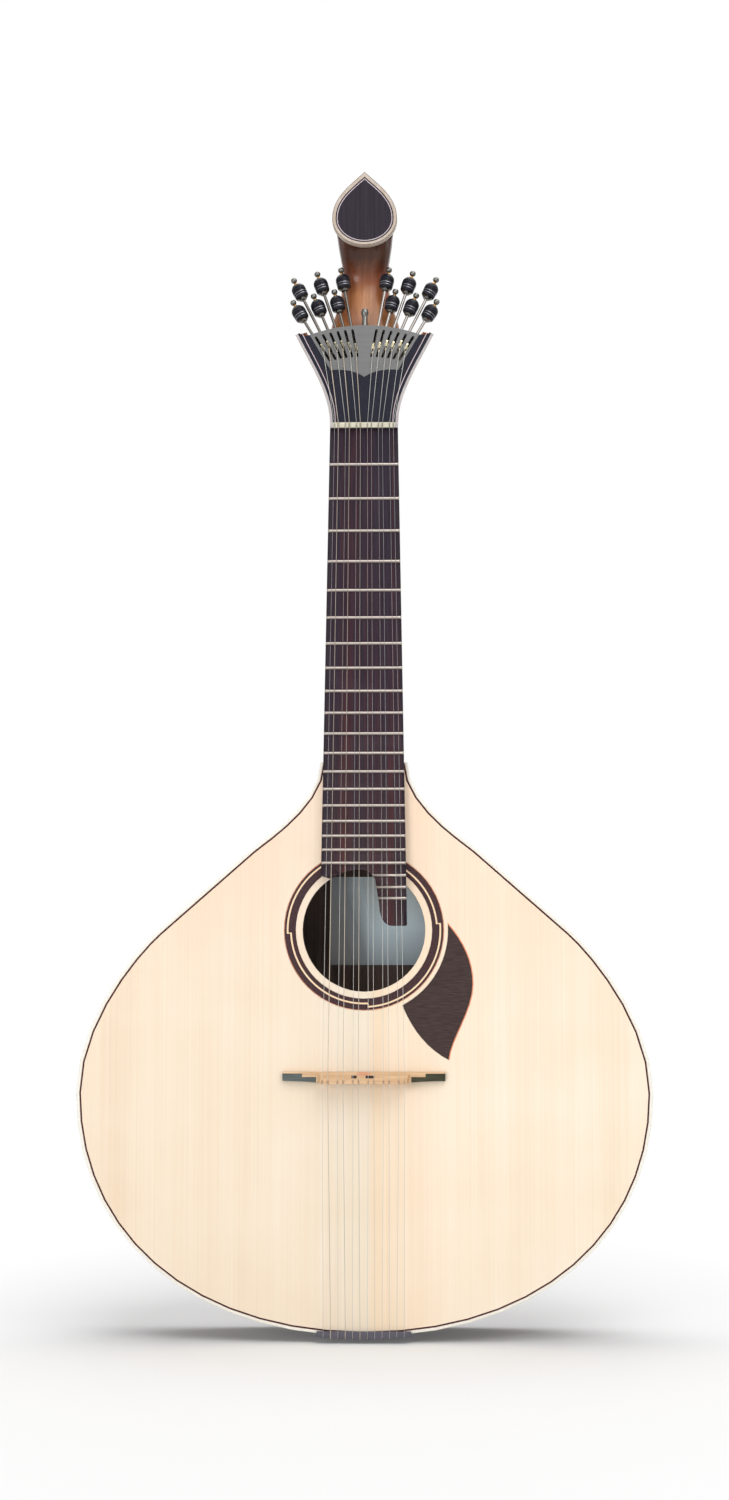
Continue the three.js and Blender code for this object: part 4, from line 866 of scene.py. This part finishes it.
def head_edge(side, word):
    """The binding of one side of the head, and the dark, white and red lines inside it."""
    rim = long_edge(max(head_rings, key=lambda ring: max(side * p.x for p in ring)), side)
    strip(f"head_line_dark_{word}", rim, HEAD_OUT, DARK_LINE_START * side, DARK_LINE_END * side,
          EBONY)
    outer = offset_line(rim, HEAD_OUT, -BINDING_OUT * MM * side)
    inner = offset_line(rim, HEAD_OUT, BINDING_WIDTH * MM * side)
    lift = HEAD_OUT * BINDING_LIFT * MM
    lean = (Vector((-side * BINDING_LEAN, 0, 0)) - HEAD_OUT * BINDING_DEPTH) * MM
    sections = [(a + lift, b + lift, b + lean, a + lean) for a, b in zip(outer, inner)]
    binding = settle(loft(f"head_binding_{word}", sections, HEAD_MAPLE), None)
    bevelled(binding, BINDING_BEVEL)
    edge = long_edge(veneer_ring, side)
    gaps = np.linspace(*LINE_GAP, len(edge))
    for name, start, width, material in HEAD_LINES:
        strip(f"head_line_{name}_{word}", edge, HEAD_OUT, (gaps + start) * side,
              (gaps + start + width) * side, material)


head_edge(-1, "bass")
head_edge(1, "treble")
refined("head_veneer", EBONY)
refined("fan_plate", PLATE, 0.15)
refined("fan_frame", NICKEL, 0.12)

# Turned look of the centre post, over the plain one of the CAD: radius and height of its rings
POST_ROWS = [
    (2.5, -0.3), (2.9, 0.1), (2.9, 0.9), (2.45, 1.4), (2.15, 2.4), (2.0, 4.5), (2.0, 8.0),
    (2.2, 10.2), (2.7, 11.6), (2.8, 12.6), (2.65, 13.9), (2.2, 15.05), (1.0, 15.3),
]
POST_SIDES = 32
POST_TOP_TOLERANCE = 0.01


def centre_post():
    corners = [v.co for v in frame["nodes"]["fan_frame"].data.vertices]
    level = max(p.dot(HEAD_UP) for p in corners)
    top = [p for p in corners if p.dot(HEAD_UP) > level - POST_TOP_TOLERANCE * MM]
    foot = sum(top, Vector()) / len(top) - HEAD_UP * POST_HEIGHT * MM
    turns = [2 * math.pi * k / POST_SIDES for k in range(POST_SIDES)]
    rings = [
        [foot + (HEAD_UP * y + SIDEWAYS * radius * math.cos(a) + HEAD_OUT * radius * math.sin(a)) * MM
         for a in turns]
        for radius, y in POST_ROWS
    ]
    settle(loft("fan_post_look", rings, NICKEL, smooth=38.0), None)


centre_post()


# Finial

# Reaches of the outline's curves, in shares of its half width and of its lower and upper height
TEAR_BOTTOM_REACH, TEAR_SIDE_REACH = 0.56, 0.55
TEAR_UPPER_REACH, TEAR_TIP_X, TEAR_TIP_REACH = 0.47, 0.42, 0.73
TEAR_STEPS = 26
# Share of the outline and height over the face's plane, round the rim's section
RIM_PROFILE = [
    (TEAR_FACE_SHARE, 0.05), (0.985, 0.05), (1.0, -0.3), (1.006, -0.9), (1.006, 0.3 - TEAR_RIM_DEPTH),
    (0.995, -TEAR_RIM_DEPTH), (0.97, -TEAR_RIM_DEPTH), (TEAR_FACE_SHARE, -2.0),
]
# Start and width of the lines inside the face's edge
FINIAL_LINES = [
    ("dark", -0.1, 1.0, DARK_LINE), ("white", 0.9, 0.6, WHITE_LINE), ("inner", 1.5, 0.3, DARK_LINE),
]


def bezier(points, t):
    weights = ((1 - t) ** 3, 3 * t * (1 - t) ** 2, 3 * t * t * (1 - t), t ** 3)
    return [sum(w * p[i] for w, p in zip(weights, points)) for i in range(2)]


def tear_ring(share, height):
    """The teardrop's outline scaled about its widest line, at a height over the face's plane."""
    rise, fall = TEAR_TIP_Y - TEAR_WIDEST_Y, TEAR_WIDEST_Y - TEAR_BOTTOM_Y
    half = TEAR_HALF_WIDTH
    lower = [
        (0, -fall), (half * TEAR_BOTTOM_REACH, -fall), (half, -fall * TEAR_SIDE_REACH), (half, 0),
    ]
    upper = [
        (half, 0), (half, rise * TEAR_UPPER_REACH),
        (half * TEAR_TIP_X, rise * TEAR_TIP_REACH), (0, rise),
    ]
    right = [bezier(lower, i / TEAR_STEPS) for i in range(TEAR_STEPS)]
    right += [bezier(upper, i / TEAR_STEPS) for i in range(TEAR_STEPS + 1)]
    ring = right + [[-x, y] for x, y in right[-2:0:-1]]
    return [local(x * share, TEAR_WIDEST_Y + y * share, TEAR_FACE_Z + height) for x, y in ring]


refined("finial_face", FACE)
rim_rings = [tear_ring(share, height) for share, height in RIM_PROFILE]
rim_sections = [list(section) for section in zip(*rim_rings)]
settle(loft("finial_rim", rim_sections, RIM_MAPLE, True), None)
for name, start, width, material in FINIAL_LINES:
    edging(f"finial_line_{name}", tear_ring(TEAR_FACE_SHARE, 0.0), start, width, material)


# Bridge: dark caps on both ends, a reddish key in the middle and two dark marks under the strings,
# painted shade of the notches they sit in

CAP_INNER, CAP_SHOULDER = 33.5, 43.5
CAP_STEP, WING_TOP = 180.3, 182.7
KEY_HALF, KEY_LOW = 4.6, 181.1
# Painted shade of the notches under the strings, across the bridge and up it
NOTCH_SHADES = ((-8.5, -4.8), (1.4, 7.6))
NOTCH_LOW, NOTCH_HIGH = 179.7, 181.5
WOOD_MARK, BASS_MARK, TREBLE_MARK, KEY_MARK, NOTCH_SHADE_MARK = range(5)
bridge_cuts_x = [sign * x for x in (CAP_INNER, CAP_SHOULDER, KEY_HALF) for sign in (-1, 1)]
bridge_cuts_x += [x for notch in NOTCH_SHADES for x in notch]
bridge_cuts_y = (CAP_STEP, WING_TOP, KEY_LOW, NOTCH_LOW, NOTCH_HIGH)


def bridge_part(x, y, z, front):
    if NOTCH_LOW < y < NOTCH_HIGH and any(low < x < high for low, high in NOTCH_SHADES):
        return NOTCH_SHADE_MARK
    out = abs(x)
    if out < KEY_HALF and y > KEY_LOW:
        return KEY_MARK
    capped = y < WING_TOP if out > CAP_SHOULDER else out > CAP_INNER and y < CAP_STEP
    return (BASS_MARK if x < 0 else TREBLE_MARK) if capped else WOOD_MARK


refined("bridge", [BRIDGE_WOOD, CAP_BASS, CAP_TREBLE, BRIDGE_KEY, DARK_LINE],
        0.15, 35.0,
        planes=[(local(x, BRIDGE_Y), SIDEWAYS) for x in bridge_cuts_x]
        + [(local(0, y), UP) for y in bridge_cuts_y], pick=bridge_part)


# Tailpiece

refined("tailpiece", DARK_METAL, 0.3)


# Tuning screws and hooks. A row is a radius and a height, from the knob's middle in a knob.

SCREW_SIDES = 20
SCREW_TIP_RADIUS, SCREW_TIP = 0.75, 0.3
THREAD_TOP, THREAD_DEPTH, THREAD_SECTIONS = -5.4, 0.16, 4
COLLARS, COLLAR_THICKNESS, COLLAR_EDGE = (-4.9, 0.6), 0.8, 0.05
SHANK_END = 7.5
STEEL_MARK, BLACK_MARK, RING_MARK, BALL_NECK_MARK, BALL_MARK = range(5)
KNOB_SPANS = [
    (BALL_MARK, [(1.3, -7.45), (2.5, -7.3), (2.9, -6.7), (3.7, -5.9)]),
    (BLACK_MARK, [(4.0, -5.8), (4.7, -5.0), (5.0, -4.3), (4.95, -3.75)]),
    (RING_MARK, [(4.8, -3.65), (5.12, -3.45), (5.12, -3.05), (4.8, -2.9)]),
    (BLACK_MARK, [(4.75, -2.8), (5.12, -2.5), (5.15, -2.15), (4.9, -1.95)]),
    (RING_MARK, [(4.85, -1.9), (5.16, -1.7), (5.16, -1.35), (4.9, -1.2)]),
    (BLACK_MARK, [(4.9, -1.1), (5.28, -0.7), (5.3, -0.1), (4.95, 0.3), (5.3, 0.7), (5.32, 1.5),
                  (5.0, 1.9), (5.2, 2.3), (5.0, 3.1), (4.55, 3.9), (3.95, 4.7), (3.3, 5.3),
                  (2.4, 5.5)]),
    (BALL_NECK_MARK, [(2.1, 5.6), (1.9, 6.3), (1.2, 7.0), (0.95, 7.7)]),
]
BALL_RADIUS, BALL_REACH = 2.3, 9.7
BALL_ARC = (0.5, math.pi - 0.12)
BALL_ROWS = 10


def screw_place(k):
    """The screw's frame in metres from mm: x across, y out along the screw, z to the front."""
    along, front = axis_of[k], HEAD_OUT
    basis = Matrix((along.cross(front).normalized(), along, front)).transposed().to_4x4()
    return Matrix.Translation(place_of[k]) @ basis @ Matrix.Scale(MM, 4)


def circle(radius, y):
    turns = [2 * math.pi * k / SCREW_SIDES for k in range(SCREW_SIDES)]
    return [Vector((radius * math.cos(a), y, radius * math.sin(a))) for a in turns]


def thread(low, high):
    """Sections of a screw thread between two heights."""
    count = int((high - low) / THREAD_PITCH * THREAD_SECTIONS)
    sections = []
    for y in np.linspace(low, high, count + 1):
        ring = circle(1.0, y)
        for k, p in enumerate(ring):
            wave = abs(2 * ((y / THREAD_PITCH - k / SCREW_SIDES) % 1.0) - 1)
            radius = SCREW_RADIUS - THREAD_DEPTH * wave
            p.x, p.z = p.x * radius, p.z * radius
        sections.append(ring)
    return sections


def screw_sections(reach):
    """Sections of a tuning screw and the material of the span above each."""
    sections = [circle(SCREW_TIP_RADIUS, -SCREW_TAIL)] + thread(-SCREW_TAIL + SCREW_TIP, THREAD_TOP)
    for low in COLLARS:
        high = low + COLLAR_THICKNESS
        sections += [circle(SCREW_RADIUS, low - 2 * COLLAR_EDGE), circle(COLLAR_RADIUS, low),
                     circle(COLLAR_RADIUS, high), circle(SCREW_RADIUS, high + COLLAR_EDGE)]
    sections.append(circle(SCREW_RADIUS, reach - SHANK_END))
    marks = [STEEL_MARK] * len(sections)
    ball = [
        (BALL_RADIUS * math.sin(a), BALL_REACH - BALL_RADIUS * math.cos(a))
        for a in np.linspace(*BALL_ARC, BALL_ROWS)
    ]
    for mark, rows in KNOB_SPANS + [(BALL_MARK, ball)]:
        sections += [circle(radius, reach + y) for radius, y in rows]
        marks += [mark] * len(rows)
    return sections, marks


def tuning_screw(k):
    """A tuning screw with its knob in the upper or the lower rank, and its hook."""
    bass = k <= COURSES
    rank = COURSES - k if bass else k - 1 - COURSES
    place = screw_place(k)
    sections, marks = screw_sections(UPPER_KNOB if rank % 2 == 0 else LOWER_KNOB)
    # The bass screws take the darker painted reflection of the steel, the treble ones the brighter
    screw = loft(f"screw_{k:02d}_look", [[place @ p for p in s] for s in sections],
                 [SHAFT_DARK_REFLECTION if bass else SHAFT_BRIGHT_REFLECTION, KNOB, KNOB_RING, BALL_NECK_REFLECTION, NICKEL],
                 smooth=38.0, indices=marks)
    settle(screw, f"tuning_screw_{k:02d}", f"screw_{k:02d}")
    # Its hook takes the darker painted reflection of the brass on the bass side, the brighter on the
    # treble
    refined(f"hook_{k:02d}", BRASS_DARK_REFLECTION if bass else BRASS, 0.25, body=f"carriage_{k:02d}")


for k in range(1, STRINGS + 1):
    tuning_screw(k)


# Strings

WOUND_STRINGS = (2, 4, 6)
PLAIN_RADIUS, WOUND_SHARE = 0.14, 0.65
WIRE = 0.14
# Where the loop sits on the hook: above its lower end and in front of the plate
CATCH_RISE, CATCH_FRONT = 2.0, 1.3
EYE_BEND, EYE_WIDTH_SHARE = 1.5, 0.85
HOOK_NECK, HOOK_EYE_STEPS = 4.2, 33
TAIL_NECK, TAIL_EYE_STEPS = 3.2, 29
# The twisted end at the hook and the one at the pin: length, start, turns and fit round the string
LONG_WRAP, SHORT_WRAP, LONG_WRAP_STRING = 26.0, 13.0, 2
WRAP_START, WRAP_FIT = 0.6, 0.8
WRAP_TIP = (0.8, 0.7, 0.5)
TAIL_WRAP_START, TAIL_WRAP, TAIL_WRAP_TURNS, TAIL_WRAP_FIT = 3.0, 8.0, 9, 0.6
HELIX_STEPS = 10
BAR_APPROACH = 0.6
# Points round the tail bar's edge, in shares of the string's distance from it
BAR_CORNER = ((0.12, 0.5), (0.5, 0.88), (1.0, 1.0))


def pair_x(i, course_step, pair_step):
    course = i // 2 - (COURSES - 1) / 2
    return course * course_step + (-pair_step if i % 2 == 0 else pair_step) / 2


def cad_radius(i):
    return BASS_RADIUS + (TREBLE_RADIUS - BASS_RADIUS) * (i // 2) / (COURSES - 1)


def path_through(start, legs):
    """Points from a start through the end of each leg, with so many steps to each."""
    path = [start]
    for end, steps in legs:
        path += [path[-1].lerp(end, t) for t in np.linspace(0, 1, steps + 1)[1:]]
    return path


def helix(start, direction, length, radius, turns):
    """Points winding round a straight line."""
    side = direction.cross(FRONT).normalized()
    up = direction.cross(side)
    count = turns * HELIX_STEPS
    made = []
    for i in range(count + 1):
        a = 2 * math.pi * turns * i / count
        swing = (side * math.cos(a) + up * math.sin(a)) * radius
        made.append(start + direction * length * i / count + swing)
    return made


def eye(centre, along, across, neck, steps):
    """A loop of wire: a half circle behind its centre whose ends meet at a neck in front, in mm."""
    made = []
    for a in np.linspace(-math.pi, math.pi, steps):
        straight = max(0.0, abs(a) - math.pi / 2) / (math.pi / 2)
        reach = neck * straight if straight else -EYE_BEND * math.cos(a)
        aside = math.copysign(1.0 - straight, a) if straight else math.sin(a)
        made.append(centre + (along * reach + across * EYE_BEND * aside * EYE_WIDTH_SHARE) * MM)
    return made


def guitar_string(k):
    """A string from its pin over the bridge and the nut to its hook, with a loop at each end."""
    i = k - 1
    wound = k in WOUND_STRINGS
    radius = WOUND_SHARE * cad_radius(i) if wound else PLAIN_RADIUS
    material = WOUND if wound else STEEL

    place = screw_place(k)
    hook = frame["nodes"][f"hook_{k:02d}"].data.vertices
    hook_y = min((place.inverted() @ v.co).y for v in hook) + CATCH_RISE
    catch = place @ Vector((0, hook_y, SCREW_DEPTH + CATCH_FRONT))
    nut_x, bridge_x = pair_x(i, NUT_STEP, NUT_PAIR), pair_x(i, BRIDGE_STEP, BRIDGE_PAIR)
    nut_z = board_top_z(NUT_Y) + STRING_LIFT + radius
    over_nut = local(nut_x, NUT_Y + NUT_LENGTH - NUT_LENGTH / 3, nut_z)
    pull = (over_nut - catch).normalized()
    across = pull.cross(HEAD_OUT).normalized()
    neck_of_eye = catch + pull * HOOK_NECK * MM

    tail_x = (i - (STRINGS - 1) / 2) * TAIL_STEP
    tail_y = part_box(f"string_{k:02d}")[0].z / MM + cad_radius(i)
    pin_z = -TAIL_PIN_DROP - (i % 2) * TAIL_PIN_STAGGER
    pin = local(tail_x, tail_y, pin_z)
    clear = GAP + radius
    bar_corner = [
        (local(tail_x, tail_y + clear * out, TAIL_BAR_TOP + clear * lift), 1)
        for out, lift in BAR_CORNER
    ]
    run = path_through(local(tail_x, tail_y, pin_z + TAIL_NECK), [
        (local(tail_x, tail_y, TAIL_BAR_TOP - BAR_APPROACH), 3),
        *bar_corner,
        (local(tail_x, TAIL_BAR_Y, TAIL_BAR_TOP + clear), 2),
        (local(bridge_x, BRIDGE_Y, BRIDGE_HEIGHT + radius), 12),
        (local(nut_x, NUT_Y, nut_z), 24),
        (over_nut, 1),
        (neck_of_eye, 12),
    ])

    length = LONG_WRAP if k == LONG_WRAP_STRING else SHORT_WRAP
    wrap = helix(neck_of_eye - pull * WRAP_START * MM, pull, length * MM,
                 (radius + WIRE * WRAP_FIT) * MM, int(length))
    tip = pull * WRAP_TIP[0] + HEAD_OUT * WRAP_TIP[1] + across * WRAP_TIP[2]
    wrap.append(wrap[-1] + tip * MM)
    tail_wrap = helix(local(tail_x, tail_y, pin_z + TAIL_WRAP_START), UP, TAIL_WRAP * MM,
                      (radius + WIRE * TAIL_WRAP_FIT) * MM, TAIL_WRAP_TURNS)

    string = joined(f"string_{k:02d}_look", [
        tube(f"string_{k:02d}_run", run, radius, material, 10),
        tube(f"eye_{k:02d}", eye(catch, pull, across, HOOK_NECK, HOOK_EYE_STEPS), WIRE, material),
        tube(f"wrap_{k:02d}", wrap, WIRE, material),
        tube(f"tail_eye_{k:02d}", eye(pin, UP, SIDEWAYS, TAIL_NECK, TAIL_EYE_STEPS), WIRE, material),
        tube(f"tail_wrap_{k:02d}", tail_wrap, WIRE, material),
    ])
    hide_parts(f"string_{k:02d}")
    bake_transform(string)


for k in range(1, STRINGS + 1):
    guitar_string(k)


# Stage

FLOOR_SIZE, FLOOR_DROP = 6.0, 0.0002
FADE_STRETCH, FADE_START, FADE_END = (2.0, 1.0, 1.0), 0.36, 0.8
FLOOR_LIFT = 0.1
WORLD_LIGHT = 0.37
MIDDLE = (0.0, 0.03, 0.4)
CAMERA_PLACE = (0.0466, -1.7998, 0.2581)
CAMERA_RIGHT = (0.99967, 0.02566, 0.00027)
CAMERA_UP = (0.00191, -0.08506, 0.99637)
CAMERA_BACK = (0.02559, -0.99605, -0.08508)
CAMERA_LENS = 60.762


def is_background(tree):
    """1 for the rays that see the background: from the camera, from metal and through glass."""
    paths = tree.nodes.new("ShaderNodeLightPath")
    seen = maths(tree, "MAXIMUM", paths.outputs["Is Camera Ray"], paths.outputs["Is Glossy Ray"])
    return maths(tree, "MAXIMUM", seen, paths.outputs["Is Transmission Ray"])


def mix_shaders(tree, fac, a, b):
    node = tree.nodes.new("ShaderNodeMixShader")
    for socket, value in zip(node.inputs, (fac, a, b)):
        tree.links.new(value, socket)
    return node.outputs[0]


def glow(tree, kind, strength):
    node = tree.nodes.new(kind)
    node.inputs["Color"].default_value = (1.0, 1.0, 1.0, 1.0)
    node.inputs["Strength"].default_value = strength
    return node.outputs[0]


def floor():
    """A pale floor just under the part, which fades to white away from it for background rays."""
    made = plain("floor_white", (229, 229, 229), 0.9, specular=0.0)
    tree = made.node_tree
    shader = tree.nodes["Principled BSDF"].outputs[0]
    distance = tree.nodes.new("ShaderNodeVectorMath")
    distance.operation = "LENGTH"
    tree.links.new(stretched(tree, FADE_STRETCH), distance.inputs[0])
    fade = ranged(tree, distance.outputs["Value"], FADE_START, FADE_END, FLOOR_LIFT)
    pale = mix_shaders(tree, fade, shader, glow(tree, "ShaderNodeEmission", 1.0))
    tree.links.new(mix_shaders(tree, is_background(tree), shader, pale),
                   tree.nodes["Material Output"].inputs["Surface"])
    floor_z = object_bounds()[0][2] - FLOOR_DROP
    corners = [
        (x * FLOOR_SIZE, y * FLOOR_SIZE, floor_z) for x, y in ((-1, -1), (1, -1), (1, 1), (-1, 1))
    ]
    make_object("floor", corners, [(0, 1, 2, 3)], made)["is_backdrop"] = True


def studio_world():
    """Soft light from all round, in front of a white background."""
    world = bpy.data.worlds.new("studio")
    bpy.context.scene.world = world
    world.use_nodes = True
    tree = world.node_tree
    tree.nodes.clear()
    output = tree.nodes.new("ShaderNodeOutputWorld")
    light = glow(tree, "ShaderNodeBackground", WORLD_LIGHT)
    white = glow(tree, "ShaderNodeBackground", 1.0)
    tree.links.new(mix_shaders(tree, is_background(tree), light, white), output.inputs["Surface"])


def lamp(name, place, target, size, watts):
    data = bpy.data.lights.new(name, "AREA")
    data.shape = "RECTANGLE"
    data.size, data.size_y = size
    data.energy = watts
    made = bpy.data.objects.new(name, data)
    made.location = place
    made.rotation_mode = "QUATERNION"
    made.rotation_quaternion = (Vector(place) - Vector(target)).to_track_quat("Z", "Y")
    bpy.context.scene.collection.objects.link(made)


def add_camera():
    """The camera at the photograph's place and angle."""
    data = bpy.data.cameras.new("camera")
    data.sensor_fit = "AUTO"
    data.sensor_width = 36.0
    data.lens = CAMERA_LENS
    made = bpy.data.objects.new("camera", data)
    turned = Matrix((CAMERA_RIGHT, CAMERA_UP, CAMERA_BACK)).transposed().to_4x4()
    made.matrix_world = Matrix.Translation(CAMERA_PLACE) @ turned
    bpy.context.scene.collection.objects.link(made)
    bpy.context.scene.camera = made


floor()
studio_world()
lamp("key", (0.8, -1.9, 2.7), MIDDLE, (2.6, 2.6), 59.5)
lamp("fill", (-1.3, -2.6, 0.75), MIDDLE, (1.0, 1.0), 19.5)
lamp("top", (0.0, 0.7, 2.3), (0.0, 0.1, 0.0), (2.6, 1.8), 34.0)
add_camera()
bpy.context.scene.view_settings.view_transform = "Standard"
